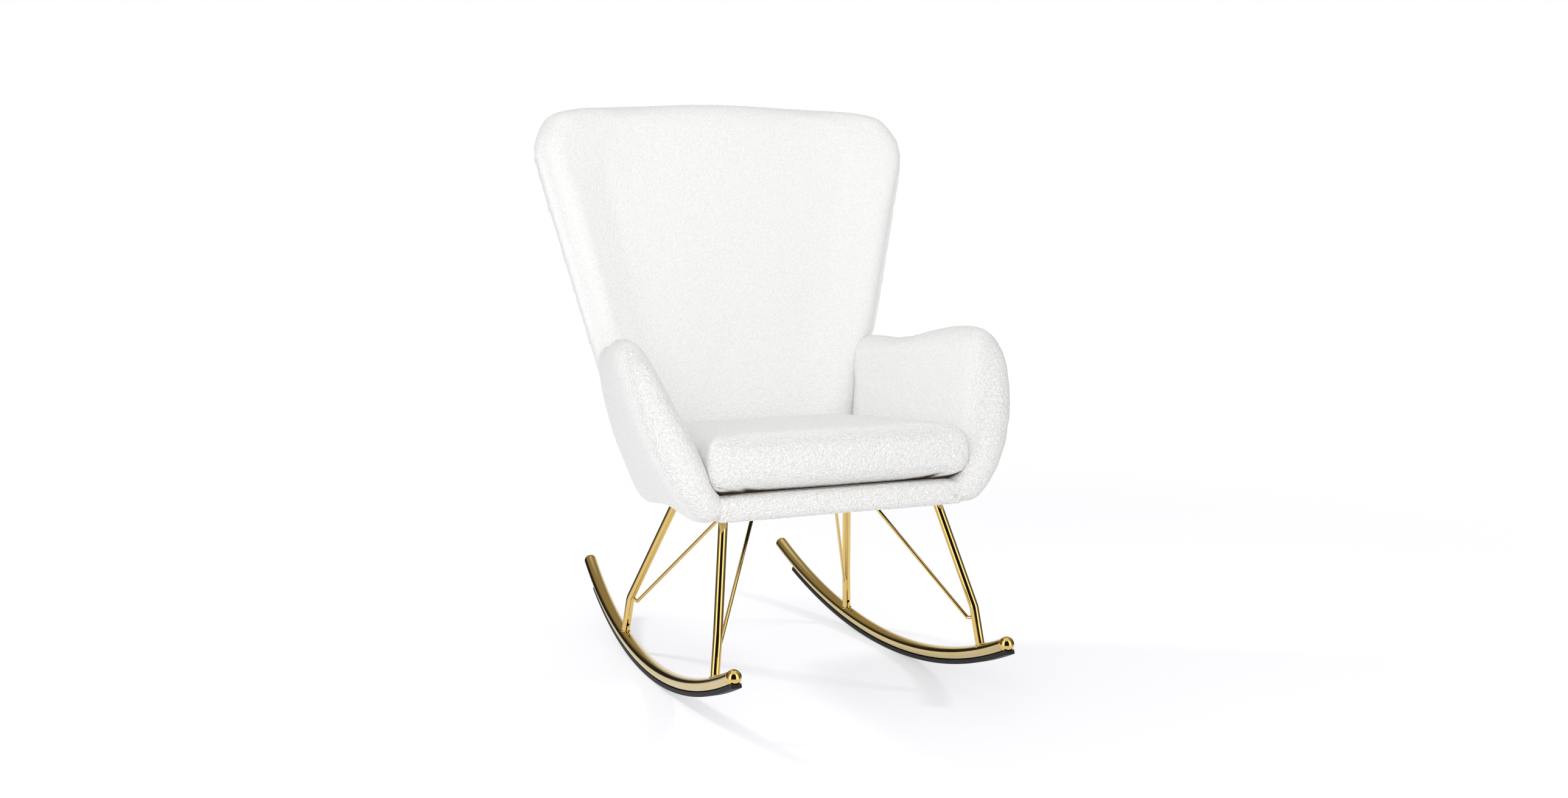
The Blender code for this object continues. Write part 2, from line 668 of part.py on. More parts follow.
def padded_rows(radius, half, margin, floor):
    """A slab padded on its inner face, with a rolled rim round a recess in its outer face."""
    inner = rim_rows(radius, half, -1)
    face = [(radius, share, lambda a, b: -half(a, b)) for share in INNER_SHARES]
    rows = face[::-1] + inner[::-1] + [(0.0, 0.0, lambda a, b: 0.0)]
    lip = [row for row in rim_rows(radius, half, 1) if row[0] < margin * 0.9]
    level = rim_height(margin, radius)
    lip.append((margin, 0.0, lambda a, b: level * half(a, b)))
    bed = [(margin, share, lambda a, b: floor) for share in (0.0, *INNER_SHARES)]
    return rows + lip + bed


def whole_rows(radius, half):
    """A slab that is full on both faces and a little bigger all round."""
    face = [(radius, share, lambda a, b: half(a, b)) for share in INNER_SHARES]
    under = [(radius, share, lambda a, b: -half(a, b)) for share in INNER_SHARES]
    rows = under[::-1] + rim_rows(radius, half, -1)[::-1]
    return rows + [(-2 * GAP, 0.0, lambda a, b: 0.0)] + rim_rows(radius, half, 1) + face


def board_rows(margin, low, high):
    """A board of even thickness, kept inside the rim."""
    under = [(margin, share, lambda a, b: low) for share in (0.0, *INNER_SHARES)]
    over = [(margin, share, lambda a, b: high) for share in (0.0, *INNER_SHARES)]
    return under[::-1] + over


def outside_rows(radius, half, margin, low):
    """An outside panel, flush with the rolled rim round it."""
    under = [(margin, share, lambda a, b: low) for share in (0.0, *INNER_SHARES)]
    level = rim_height(margin, radius)
    over = [(margin, 0.0, lambda a, b: level * half(a, b))]
    over += [row for row in rim_rows(radius, half, 1) if row[0] > margin * 1.1]
    over += [(radius, share, lambda a, b: half(a, b)) for share in INNER_SHARES]
    return under[::-1] + over


ARM_BOX = ((ARM_PEAK_Y, ARM_REAR_Y * 0.3),
           (SEAT_UNDERSIDE_Z + ARM_RISE * 0.36, SEAT_UNDERSIDE_Z + ARM_RISE * 0.52))


def arm_inner_x(y, z):
    """Inner face of the right arm."""
    middle, normal = arm_sheet(y, z)
    return middle.x - arm_half(y, z) / normal.x


def seat_half_width(v, low=BAR_LOW, high=DECK_LOW + DECK_PAD_THICKNESS):
    """Room between the arms' inner faces over the height of the seat frame."""
    reach = []
    for w in (low, high):
        spot = seat_point(0, v, w)
        reach.append(arm_inner_x(spot.y, spot.z))
    return min(reach) - GAP


def build_arm(label, side, back_cutter):
    outline = arm_outline()
    radius = ARM_HALF_FRONT
    pad = slab(outline, ARM_BOX, arm_sheet, padded_rows(radius, arm_half, ARM_MARGIN, ARM_RECESS), side)
    pieces = [add_object(f"arm_pad_{label}", pad, BOUCLE)]
    low = ARM_RECESS + 2 * GAP
    inside = ARM_MARGIN + PANEL_CLEARANCE
    board = slab(outline, ARM_BOX, arm_sheet, board_rows(inside, low, low + PANEL_THICKNESS), side)
    pieces.append(add_object(f"arm_panel_{label}", board, PLYWOOD))
    rows = outside_rows(radius, arm_half, inside, low + PANEL_THICKNESS + 2 * GAP)
    pieces.append(add_object(f"arm_outside_{label}", slab(outline, ARM_BOX, arm_sheet, rows, side), BOUCLE))
    for piece in pieces:
        cut(piece, back_cutter)
    return pieces


def build_arm_room(label, side):
    """Cutter that makes room for an arm's rolled edge."""
    rows = whole_rows(ARM_HALF_FRONT, arm_half_grown)
    return add_cutter(f"arm_room_{label}", slab(arm_outline(), ARM_BOX, arm_sheet, rows, side))


# Back
BACK_ELBOW_Z = SEAT_UNDERSIDE_Z + ARM_BACK_RISE + BACK_ELBOW_LIFT
BACK_WING_Z = BACK_TOP_Z - BACK_WING_DROP


def between(low, high, share):
    return low + (high - low) * min(max(share, 0), 1)


def back_half_width(z):
    if z < BACK_ELBOW_Z:
        share = (z - SEAT_UNDERSIDE_Z) / (BACK_ELBOW_Z - SEAT_UNDERSIDE_Z)
        return between(BACK_FOOT_HALF_WIDTH, BACK_ELBOW_HALF_WIDTH, share)
    share = (z - BACK_ELBOW_Z) / (BACK_WING_Z - BACK_ELBOW_Z)
    return between(BACK_ELBOW_HALF_WIDTH, BACK_WING_HALF_WIDTH, share)


def back_y(x, z):
    """Middle of the back's slab."""
    up = z - SEAT_UNDERSIDE_Z
    wrap = between(BACK_WRAP_FOOT, BACK_WRAP, up / (BACK_WING_Z - SEAT_UNDERSIDE_Z))
    wing = min(abs(x) / back_half_width(z), 1) ** BACK_WRAP_POWER
    return BACK_SEAT_Y + BACK_RECLINE * up - wrap * wing


def back_sheet(x, z):
    step = 0.002
    lean_x = (back_y(x + step, z) - back_y(x - step, z)) / (2 * step)
    lean_z = (back_y(x, z + step) - back_y(x, z - step)) / (2 * step)
    return Vector((x, back_y(x, z), z)), Vector((-lean_x, 1, -lean_z)).normalized()


BACK_FOOT_Z = underside_z(BACK_SEAT_Y)
BACK_BOX = ((-BACK_FOOT_HALF_WIDTH * 0.6, BACK_FOOT_HALF_WIDTH * 0.6),
            (SEAT_UNDERSIDE_Z + BACK_MIDDLE_RISE, BACK_WING_Z - BACK_MIDDLE_DROP))


def back_outline():
    """Front view of the back: narrow foot, straight flaring sides, round shoulders, arched top."""
    shoulder = BACK_TOP_Z - BACK_SHOULDER_DROP
    foot = BACK_FOOT_HALF_WIDTH
    side = [(foot * 0.5, BACK_FOOT_Z), (foot - BACK_FOOT_ROUND_WIDTH, BACK_FOOT_Z + BACK_FOOT_ROUND_RISE)]
    levels = (SEAT_UNDERSIDE_Z + BACK_SIDE_RISE, BACK_ELBOW_Z - BACK_ELBOW_EASE_LOW, BACK_ELBOW_Z,
              BACK_ELBOW_Z + BACK_ELBOW_EASE_HIGH, BACK_WING_Z - BACK_WING_EASE)
    side += [(back_half_width(z), z) for z in levels]
    side += [(BACK_WING_HALF_WIDTH, BACK_WING_Z)]
    side += [(BACK_WING_HALF_WIDTH - BACK_CORNER_WIDTH, shoulder - BACK_CORNER_DROP)]
    side += [(BACK_SHOULDER_HALF_WIDTH, shoulder)]
    side += [(BACK_SHOULDER_HALF_WIDTH / 2, BACK_TOP_Z - BACK_ARCH_DROP)]
    keys = [(0, BACK_FOOT_Z)] + side + [(0, BACK_TOP_Z)] + [(-x, z) for x, z in side[::-1]]
    return smooth_loop(keys, BACK_POINTS)


def shell_rows(radius, half, margin, low, edge_width, shell):
    """An outside panel, flush with the rim, hollowed inside a thick edge."""
    hollow = margin + edge_width
    under = [(margin, 0.0, lambda a, b: low), (hollow, 0.0, lambda a, b: low)]
    under += [(hollow, share, lambda a, b: half(a, b) - shell) for share in (0.0, *INNER_SHARES)]
    rows = outside_rows(radius, half, margin, low)
    return under[::-1] + rows[len(INNER_SHARES) + 1:]


def back_half(x, z):
    return BACK_HALF


def back_half_grown(x, z):
    return BACK_HALF + 2 * GAP


def build_back():
    outline = back_outline()
    rows = padded_rows(BACK_HALF, back_half, BACK_MARGIN, BACK_RECESS)
    pad = add_object("back_pad", slab(outline, BACK_BOX, back_sheet, rows), BOUCLE)
    low = BACK_RECESS + 2 * GAP
    inside = BACK_MARGIN + PANEL_CLEARANCE
    top = low + PANEL_THICKNESS
    board = slab(outline, BACK_BOX, back_sheet, board_rows(inside, low, top))
    panel = add_object("back_frame", board, PLYWOOD)
    rows = board_rows(inside + BACK_FRAME_WIDTH, low - PANEL_THICKNESS, top + PANEL_THICKNESS)
    cut(panel, add_cutter("back_window", slab(outline, BACK_BOX, back_sheet, rows)))
    rows = shell_rows(BACK_HALF, back_half, inside, top + PANEL_CLEARANCE, BACK_EDGE_WIDTH, BACK_SHELL)
    add_object("back_outside", slab(outline, BACK_BOX, back_sheet, rows), BOUCLE)

    rows = whole_rows(BACK_HALF, back_half_grown)
    cutter = add_cutter("back_room", slab(outline, BACK_BOX, back_sheet, rows))
    return pad, panel, cutter


def back_front_y(x, z):
    """Front face of the back, short of its rolled rim."""
    middle, normal = back_sheet(x, z)
    return middle.y - BACK_HALF / normal.y


def seat_depth_at(w, u=0.0):
    """Distance v along the seat to the back's front face, at a height w."""
    v = 0.4
    for _ in range(6):
        spot = seat_point(u, v, w)
        ease = BACK_HALF * (1 - rim_height(max(spot.z - BACK_FOOT_Z, 0.0), BACK_HALF))
        v += (back_front_y(u, spot.z) + ease - spot.y) / math.cos(RAKE)
    return v


# Seat
def bolt(name, matrix, length, parent=None):
    head = BOLT_HEAD_DIAMETER / 2
    shank = BOLT_DIAMETER / 2
    profile = [(head * 0.72, -BOLT_HEAD_HEIGHT), (head, -BOLT_HEAD_HEIGHT * 0.55), (head, -2 * GAP),
               (shank, -2 * GAP), (shank, length)]
    shape = turned(profile, BOLT_SIDES)
    shape.transform(matrix)
    return add_object(name, shape, ZINC, parent)


def drill(pieces, name, matrix, start, length, parent=None):
    radius = BOLT_DIAMETER / 2 + GAP
    shape = turned([(radius, start), (radius, length)], BOLT_SIDES)
    shape.transform(matrix)
    cutter = add_cutter(name, shape, parent)
    for piece in pieces:
        cut(piece, cutter)


def bar_u(v):
    """Middle line of a side bar."""
    share = (v - FRONT_LEG_TOP_V) / (REAR_LEG_TOP_V - FRONT_LEG_TOP_V)
    return FRONT_LEG_TOP_U + (REAR_LEG_TOP_U - FRONT_LEG_TOP_U) * share


def edge_line(edge, front, rear, side=1):
    """Points back along one side of the seat, for an edge u = edge(v)."""
    steps = 4
    stops = [front + (rear - front) * i / steps for i in range(steps + 1)]
    return [(side * edge(v), v) for v in stops]


def band(side, inner, outer, front, rear):
    """Outline of a strip that runs back along one side of the seat."""
    return edge_line(outer, front, rear, side) + edge_line(inner, front, rear, side)[::-1]


def panel_between(edge, front, rear):
    """Outline of a flat piece that reaches an edge on both sides of the seat."""
    return edge_line(edge, front, rear) + edge_line(edge, front, rear, -1)[::-1]


def build_seat(seat, arms, arm_rooms, back_pad, back_panel, back_room):
    rear_v = seat_depth_at(FRAME_MIDDLE) - GAP
    front_v = RAIL_PAD_DEPTH + GAP
    inner_front = front_v + RAIL_WIDTH + GAP
    inner_rear = rear_v - RAIL_WIDTH - GAP

    cover = panel_between(lambda v: seat_half_width(v) - DUST_COVER_MARGIN,
                          front_v + DUST_COVER_MARGIN, rear_v - DUST_COVER_MARGIN)
    shape = prism(cover, COVER_LOW, COVER_LOW + DUST_COVER_THICKNESS)
    dust_cover = add_object("dust_cover", shape, WEB, seat)

    def cross_rail(name, front, rear):
        shape = prism(panel_between(seat_half_width, front, rear), FRAME_LOW, FRAME_TOP)
        return add_object(name, shape, PLYWOOD, seat)

    cross_rail("seat_front_rail", front_v, front_v + RAIL_WIDTH)
    rear_rail = cross_rail("seat_rear_rail", rear_v - RAIL_WIDTH, rear_v)

    plate_rear = PLATE_FRONT_V + PLATE_DEPTH
    plate = panel_between(lambda v: bar_u(v) - BAR_WIDTH / 2 - GAP, PLATE_FRONT_V, plate_rear)
    add_object("cross_plate", prism(plate, BAR_LOW, BAR_LOW + BAR_THICKNESS), STEEL, seat)

    for label, side in SIDES.items():
        corners = band(side, lambda v: seat_half_width(v) - RAIL_WIDTH, seat_half_width,
                       inner_front, inner_rear)
        rail = add_object(f"seat_side_rail_{label}", prism(corners, FRAME_LOW, FRAME_TOP), PLYWOOD, seat)
        corners = band(side, lambda v: bar_u(v) - BAR_WIDTH / 2, lambda v: bar_u(v) + BAR_WIDTH / 2,
                       FRONT_LEG_TOP_V - BAR_OVERHANG, REAR_LEG_TOP_V + BAR_OVERHANG)
        bar = add_object(f"side_bar_{label}", prism(corners, BAR_LOW, BAR_LOW + BAR_THICKNESS), STEEL, seat)
        length = FRAME_TOP - BAR_LOW - BOLT_SHORT_OF
        stops = {"front": FRONT_LEG_TOP_V + BASE_BOLT_INSET, "rear": REAR_LEG_TOP_V - BASE_BOLT_INSET}
        for end, v in stops.items():
            place = Matrix.Translation((side * bar_u(v), v, BAR_LOW))
            bolt(f"base_bolt_{end}_{label}", place, length, seat)
            drill((bar, dust_cover, rail), f"base_hole_{end}_{label}", place, -GAP, length + GAP, seat)
        build_arm_bolts(label, side, rail, arms[label])

    for i in range(WEBBING_COUNT):
        middle = WEBBING_PITCH * (i - (WEBBING_COUNT - 1) / 2)
        ends = (front_v + RAIL_WIDTH - WEBBING_HOLD, rear_v - RAIL_WIDTH + WEBBING_HOLD)
        half = WEBBING_WIDTH / 2
        corners = [(middle - half, ends[0]), (middle + half, ends[0]),
                   (middle + half, ends[1]), (middle - half, ends[1])]
        shape = prism(corners, WEBBING_LOW, WEBBING_LOW + WEBBING_THICKNESS)
        add_object(f"webbing_{i + 1}", shape, WEB, seat)

    deck = panel_between(seat_half_width, front_v, rear_v)
    deck_pad = add_object("deck_pad", prism(deck, DECK_LOW, DECK_LOW + DECK_PAD_THICKNESS), FELT, seat)
    for piece in (deck_pad, rear_rail, dust_cover):
        cut(piece, back_room)

    edge = RAIL_PAD_HALF_LENGTH
    corners = [(-edge, 0), (edge, 0), (edge, RAIL_PAD_DEPTH), (-edge, RAIL_PAD_DEPTH)]
    shape = prism(corners, 0, RAIL_PAD_HEIGHT)
    front_edges = [e for e in shape.edges if all(abs(v.co.y) < GAP for v in e.verts)
                   and abs(e.verts[0].co.z - e.verts[1].co.z) < GAP]
    bmesh.ops.bevel(shape, geom=front_edges, offset=RAIL_PAD_ROUND, segments=3, profile=0.5, affect="EDGES")
    rail_pad = add_object("front_rail_pad", shape, BOUCLE, seat)
    for room in arm_rooms:
        cut(rail_pad, room)

    for i in (-1, 0, 1):
        start = rear_v - RAIL_WIDTH
        place = aim(Vector((i * BACK_BOLT_PITCH, start, FRAME_MIDDLE)), Vector((0, 1, 0)))
        far = RAIL_WIDTH + BACK_HALF + BACK_RECESS + PANEL_THICKNESS - BOLT_SHORT_OF
        name = ("left", "middle", "right")[i + 1]
        bolt(f"back_bolt_{name}", place, far, seat)
        drill((rear_rail, back_pad, back_panel), f"back_hole_{name}", place, -GAP, far + GAP, seat)


def build_arm_bolts(label, side, rail, arm_pieces):
    pad, panel, _ = arm_pieces
    for end, v in (("front", ARM_BOLT_FRONT_V), ("rear", ARM_BOLT_REAR_V)):
        start = seat_half_width(v) - RAIL_WIDTH
        spot = seat_point(start, v, FRAME_MIDDLE)
        reach = arm_x(spot.y, spot.z) + ARM_RECESS + PANEL_THICKNESS - BOLT_SHORT_OF - start
        place = aim(seat_point(side * start, v, FRAME_MIDDLE), Vector((side, 0, 0)))
        bolt(f"arm_bolt_{end}_{label}", place, reach)
        drill((rail, pad, panel), f"arm_hole_{end}_{label}", place, -GAP, reach + GAP)


# Cushion
def cushion_outline():
    """Plan of the cushion: squared oval, narrower at the rear, sides drawn in."""
    widest = CUSHION_LOW + CUSHION_LOWER
    power = 2 / CUSHION_SQUARENESS
    points = []
    for i in range(CUSHION_POINTS):
        turn = math.tau * (i + 0.5) / CUSHION_POINTS
        a = math.copysign(abs(math.cos(turn)) ** power, math.cos(turn))
        b = math.copysign(abs(math.sin(turn)) ** power, math.sin(turn))
        u, v = a * ARM_FOOT_X, 0.0
        for _ in range(4):
            rear = seat_depth_at(widest, u) - CUSHION_CLEARANCE
            half_depth = (rear - CUSHION_FRONT_V) / 2
            v = CUSHION_FRONT_V + half_depth + b * (half_depth - CUSHION_DRAW_IN * (1 - a * a))
            spot = seat_point(0, v, widest)
            room = arm_inner_x(max(spot.y, ARM_FRONT_Y), spot.z) - CUSHION_CLEARANCE
            flare = CUSHION_FRONT_FLARE * max(1 - (v - CUSHION_FRONT_V) / CUSHION_FLARE_DEPTH, 0) ** 2
            u = a * (room + flare - CUSHION_DRAW_IN * (1 - b * b))
        points.append((u, v))
    return points


def build_cushion(seat):
    rear_v = seat_depth_at(CUSHION_LOW + CUSHION_LOWER) - CUSHION_CLEARANCE
    widest = CUSHION_LOW + CUSHION_LOWER

    def upper(u, v):
        share = min(max((v - CUSHION_FRONT_V) / (rear_v - CUSHION_FRONT_V), 0), 1)
        across = 1 - (u / ARM_FOOT_X) ** 2
        crown = CUSHION_CROWN * math.sin(math.pi * share) * max(across, 0)
        return CUSHION_UPPER_FRONT + (CUSHION_UPPER_REAR - CUSHION_UPPER_FRONT) * share + crown

    def lower(u, v):
        return CUSHION_LOWER

    def sheet(u, v):
        return Vector((u, v, widest)), Vector((0, 0, 1))

    box = ((-ARM_FOOT_X * 0.5, ARM_FOOT_X * 0.5), (rear_v * 0.3, rear_v * 0.7))
    top = rim_rows(CUSHION_EDGE, upper, 1)
    face = [(CUSHION_EDGE, share, upper) for share in (0.25, 0.5, 0.8)]
    under = rim_rows(CUSHION_LOWER, lower, -1)
    rows = face[::-1] + top[::-1] + [(0.0, 0.0, lambda a, b: 0.0)] + under
    add_object("seat_cushion", slab(cushion_outline(), box, sheet, rows), BOUCLE, seat)


def main():
    clear_scene()
    seat = bpy.data.objects.new("seat_plane", None)
    bpy.context.collection.objects.link(seat)
    seat.matrix_world = SEAT_MATRIX
    for label, side in SIDES.items():
        ball_room = build_runner(label, side)
        build_strip(label, side, ball_room)
        rings = runner_rings(side, RUNNER_RADIUS + GAP)
        runner_cutter = add_cutter(f"runner_room_{label}", loft(rings))
        for end in LEGS:
            build_leg(end, label, side, runner_cutter)
            build_brace(end, label, side)
    back_pad, back_panel, back_cutter = build_back()
    arms = {label: build_arm(label, side, back_cutter) for label, side in SIDES.items()}
    arm_rooms = [build_arm_room(label, side) for label, side in SIDES.items()]
    build_seat(seat, arms, arm_rooms, back_pad, back_panel, back_cutter)
    build_cushion(seat)


main()
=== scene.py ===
# %% [markdown]
# # Nursery rocking chair
#
# A padded wing chair in white looped-pile cloth stands on a gold-plated rocker
# base. The solid model gives the frame: every piece here sits where a solid sits,
# in metres, with +Z up and the sitter facing -Y. The rigid hidden pieces keep
# their solids and only get a finish. The bright metal is modelled again with round
# sections, and the padding is modelled as the soft thing it is.

import math

import bpy
import numpy as np
from mathutils import Matrix, Vector
from mathutils.bvhtree import BVHTree


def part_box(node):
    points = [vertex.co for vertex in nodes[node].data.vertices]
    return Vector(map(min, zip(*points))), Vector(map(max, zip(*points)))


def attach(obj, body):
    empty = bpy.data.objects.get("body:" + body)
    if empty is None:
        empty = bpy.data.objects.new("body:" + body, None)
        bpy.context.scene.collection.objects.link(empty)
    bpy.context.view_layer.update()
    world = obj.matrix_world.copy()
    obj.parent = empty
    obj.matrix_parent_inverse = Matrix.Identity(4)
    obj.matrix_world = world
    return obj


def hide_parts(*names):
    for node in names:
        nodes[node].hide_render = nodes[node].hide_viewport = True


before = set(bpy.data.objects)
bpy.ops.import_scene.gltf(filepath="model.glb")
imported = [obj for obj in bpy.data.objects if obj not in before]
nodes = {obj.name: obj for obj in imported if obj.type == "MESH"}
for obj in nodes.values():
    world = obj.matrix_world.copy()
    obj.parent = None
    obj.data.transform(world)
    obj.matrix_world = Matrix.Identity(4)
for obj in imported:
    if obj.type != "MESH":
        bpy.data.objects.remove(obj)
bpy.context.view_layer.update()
SIDES = {"left": -1, "right": 1}

# %% [markdown]
# ## Camera
#
# The camera stands to the sitter's right of the chair, at about head height of a
# crouching person, and looks slightly down. Place, turn and lens were solved from
# pairs of points that the two sides of the chair mirror, such as the runner ends.

# %% Camera
PHOTO_WIDTH = 2576
FOCAL_PIXELS = 2800
SENSOR_MM = 36
CAMERA_PLACE = (-1.2085, -2.9096, 0.9051)
CAMERA_DOWN = 7.3866
CAMERA_TURN = -23.0615
bpy.ops.object.camera_add(
    location=CAMERA_PLACE,
    rotation=(math.radians(90 - CAMERA_DOWN), 0, math.radians(CAMERA_TURN)),
)
camera = bpy.context.object
camera.data.sensor_width = SENSOR_MM
camera.data.lens = SENSOR_MM * FOCAL_PIXELS / PHOTO_WIDTH
bpy.context.scene.camera = camera
print("lens in mm:", round(camera.data.lens, 2))

# %% [markdown]
# ## One function for nodes, one for colours
#
# Every finish below is a small tree of shader nodes. Adding a node, setting it and
# linking it is always the same job, so one function does it. Colours are written
# as the hex values a colour picker shows, and turned to the linear values that the
# shader needs.


# %% Helpers for finishes
def linear(code):
    """A colour picker's hex value as linear red, green, blue, alpha."""
    parts = [int(code[i:i + 2], 16) / 255 for i in (1, 3, 5)]
    return (*[c / 12.92 if c <= 0.04045 else ((c + 0.055) / 1.055) ** 2.4 for c in parts], 1.0)


def add_node(tree, kind, inputs=None, to=None, out=0, **settings):
    """Add a shader node, set it, set or link its inputs, and link one output to a socket.

    A node given as an input stands for its first output.
    """
    made = tree.nodes.new("ShaderNode" + kind)
    for name, value in settings.items():
        setattr(made, name, value)
    for socket, value in (inputs or {}).items():
        if isinstance(value, bpy.types.Node):
            value = value.outputs[0]
        if isinstance(value, bpy.types.NodeSocket):
            tree.links.new(value, made.inputs[socket])
        else:
            made.inputs[socket].default_value = value
    if to is not None:
        tree.links.new(made.outputs[out], to)
    return made


def new_finish(name, metallic, roughness, specular=0.5):
    """A material with its even values set, its tree, its shader and its Object coordinates."""
    made = bpy.data.materials.new(name)
    made.use_nodes = True
    shader = made.node_tree.nodes["Principled BSDF"]
    shader.inputs["Metallic"].default_value = metallic
    shader.inputs["Roughness"].default_value = roughness
    shader.inputs["Specular IOR Level"].default_value = specular
    place = add_node(made.node_tree, "TexCoord").outputs["Object"]
    return made, made.node_tree, shader, place


# A Mix node has a set of sockets for each kind of value; these are its colour ones.
MIX_SHARE, MIX_FIRST, MIX_SECOND, MIX_RESULT = 0, 6, 7, 2

# %% [markdown]
# ## Studio
#
# The photograph is a high-key studio shot: white sweep, white floor, faint grey
# shadows. The world gives the soft light, a little stronger from the front left, and
# it is plain white where the camera looks at it. Polished metal needs more than that:
# dark places in the room draw the brown bands along the tubes. So the metal mirrors a
# large painted dome that nothing else sees, with a white sweep behind the chair, black
# flags beside it, a white board next to the camera and a dark room behind the camera.

# %% World
TO_CAMERA = (-0.39, -0.92, 0.0)
FROM_LIGHT = (-0.66, -0.72, 0.20)
# A ramp holds no light over 1, so ramps hold a share of the brightest light.
BRIGHTEST = 2.0
WHITE = (1 / BRIGHTEST, 1 / BRIGHTEST, 1 / BRIGHTEST, 1.0)


def stepped(tree, value, *stops):
    """A ramp of greys: pairs of a place from 0 to 1 and a light there, up to the brightest."""
    ramp = add_node(tree, "ValToRGB", {"Fac": value})
    while len(ramp.color_ramp.elements) < len(stops):
        ramp.color_ramp.elements.new(0.5)
    for stop, (where, light) in zip(ramp.color_ramp.elements, stops):
        stop.position = where
        stop.color = (*[light / BRIGHTEST] * 3, 1.0)
    return ramp.outputs["Color"]


def towards(tree, arrow, way):
    """How far an arrow points one way: 0 straight away from it, 1 straight to it."""
    along = add_node(tree, "VectorMath", {0: arrow, 1: way}, operation="DOT_PRODUCT")
    share = add_node(tree, "MapRange", {"Value": along.outputs["Value"], "From Min": -1.0, "From Max": 1.0})
    return share.outputs["Result"]


world = bpy.data.worlds.new("studio_light")
bpy.context.scene.world = world
world.use_nodes = True
tree = world.node_tree
tree.nodes.clear()
ray = add_node(tree, "TexCoord").outputs["Generated"]
soft = stepped(tree, towards(tree, ray, FROM_LIGHT), (0.0, 0.575), (0.5, 0.74), (1.0, 0.905))
camera_ray = add_node(tree, "LightPath").outputs["Is Camera Ray"]
seen = add_node(tree, "Mix", {MIX_SHARE: camera_ray, MIX_FIRST: soft, MIX_SECOND: WHITE},
    data_type="RGBA").outputs[MIX_RESULT]
glow = add_node(tree, "Background", {"Color": seen, "Strength": BRIGHTEST})
add_node(tree, "OutputWorld", {"Surface": glow.outputs[0]})
world.cycles_visibility.glossy = False
bpy.context.scene.view_settings.view_transform = "Standard"
print("world:", world.name)

# %% Walls that polished metal mirrors
DOME_RADIUS = 14
bpy.ops.mesh.primitive_uv_sphere_add(segments=48, ring_count=24, radius=DOME_RADIUS)
dome = bpy.context.object
dome.name = "studio_walls"
dome.visible_camera = dome.visible_diffuse = dome.visible_shadow = dome.visible_transmission = False
card = bpy.data.materials.new("painted_studio_walls")
card.use_nodes = True
tree = card.node_tree
place = add_node(tree, "TexCoord").outputs["Object"]
level = add_node(tree, "VectorMath", {0: place, 1: (1.0, 1.0, 0.0)}, operation="MULTIPLY")
level = add_node(tree, "VectorMath", {0: level.outputs[0]}, operation="NORMALIZE").outputs[0]
ray = add_node(tree, "VectorMath", {0: place}, operation="NORMALIZE").outputs[0]
front = towards(tree, level, TO_CAMERA)
height = towards(tree, ray, (0.0, 0.0, 1.0))
# Round from behind the chair to the camera: white sweep, black flag, dim side, white board,
# dark room.
ring = stepped(tree, front, (0.0, 1.0), (0.03, 1.0), (0.06, 0.02), (0.25, 0.02), (0.36, 0.16), (0.62, 0.16),
               (0.68, 1.5), (0.88, 2.0), (0.915, 0.02), (1.0, 0.01))
# The walls end at a white floor below and a white light overhead. Behind the chair a dim
# loft with a warm paint comes before that light.
LOFT_PAINT = (0.19, 0.155, 0.09, 1.0)
ends = stepped(tree, height, (0.0, 2.0), (0.34, 2.0), (0.42, 0.0), (0.90, 0.0), (0.96, 2.0), (1.0, 2.0))
loft = stepped(tree, height, (0.0, 0.0), (0.62, 0.0), (0.74, 2.0), (1.0, 2.0))
behind = stepped(tree, front, (0.0, 2.0), (0.42, 2.0), (0.58, 0.0), (1.0, 0.0))
loft = add_node(tree, "Math", {0: loft, 1: behind}, operation="MULTIPLY").outputs[0]
mirrored = ring
for share, paint in ((loft, LOFT_PAINT), (ends, WHITE)):
    mirrored = add_node(tree, "Mix", {MIX_SHARE: share, MIX_FIRST: mirrored, MIX_SECOND: paint},
        data_type="RGBA")
    mirrored = mirrored.outputs[MIX_RESULT]
tree.nodes.remove(tree.nodes["Principled BSDF"])
add_node(tree, "Emission", {"Color": mirrored, "Strength": BRIGHTEST},
    to=tree.nodes["Material Output"].inputs["Surface"])
dome.data.materials.append(card)
print("dome:", len(dome.data.polygons), "faces")


# %% Soft boxes and floor
def soft_box(name, place, target, size, power):
    """A rectangular studio light at a place, turned to a target."""
    aim = (Vector(target) - Vector(place)).to_track_quat("-Z", "Y").to_euler()
    bpy.ops.object.light_add(type="AREA", location=place, rotation=aim)
    box = bpy.context.object
    box.name = name
    box.data.shape = "RECTANGLE"
    box.data.size, box.data.size_y = size
    box.data.energy = power
    box.visible_camera = box.visible_glossy = False
    return box


MIDDLE = (0.0, 0.0, 0.40)
floor_lamps = [soft_box("box_behind_left", (-1.9, 1.9, 2.6), MIDDLE, size=(0.5, 0.5), power=62),
               soft_box("box_front_right", (2.2, -2.0, 2.4), MIDDLE, size=(0.5, 0.5), power=44)]
soft_box("box_low_front", (-0.75, -1.85, 1.25), (0.12, -0.05, 0.40), size=(1.1, 1.1), power=14)

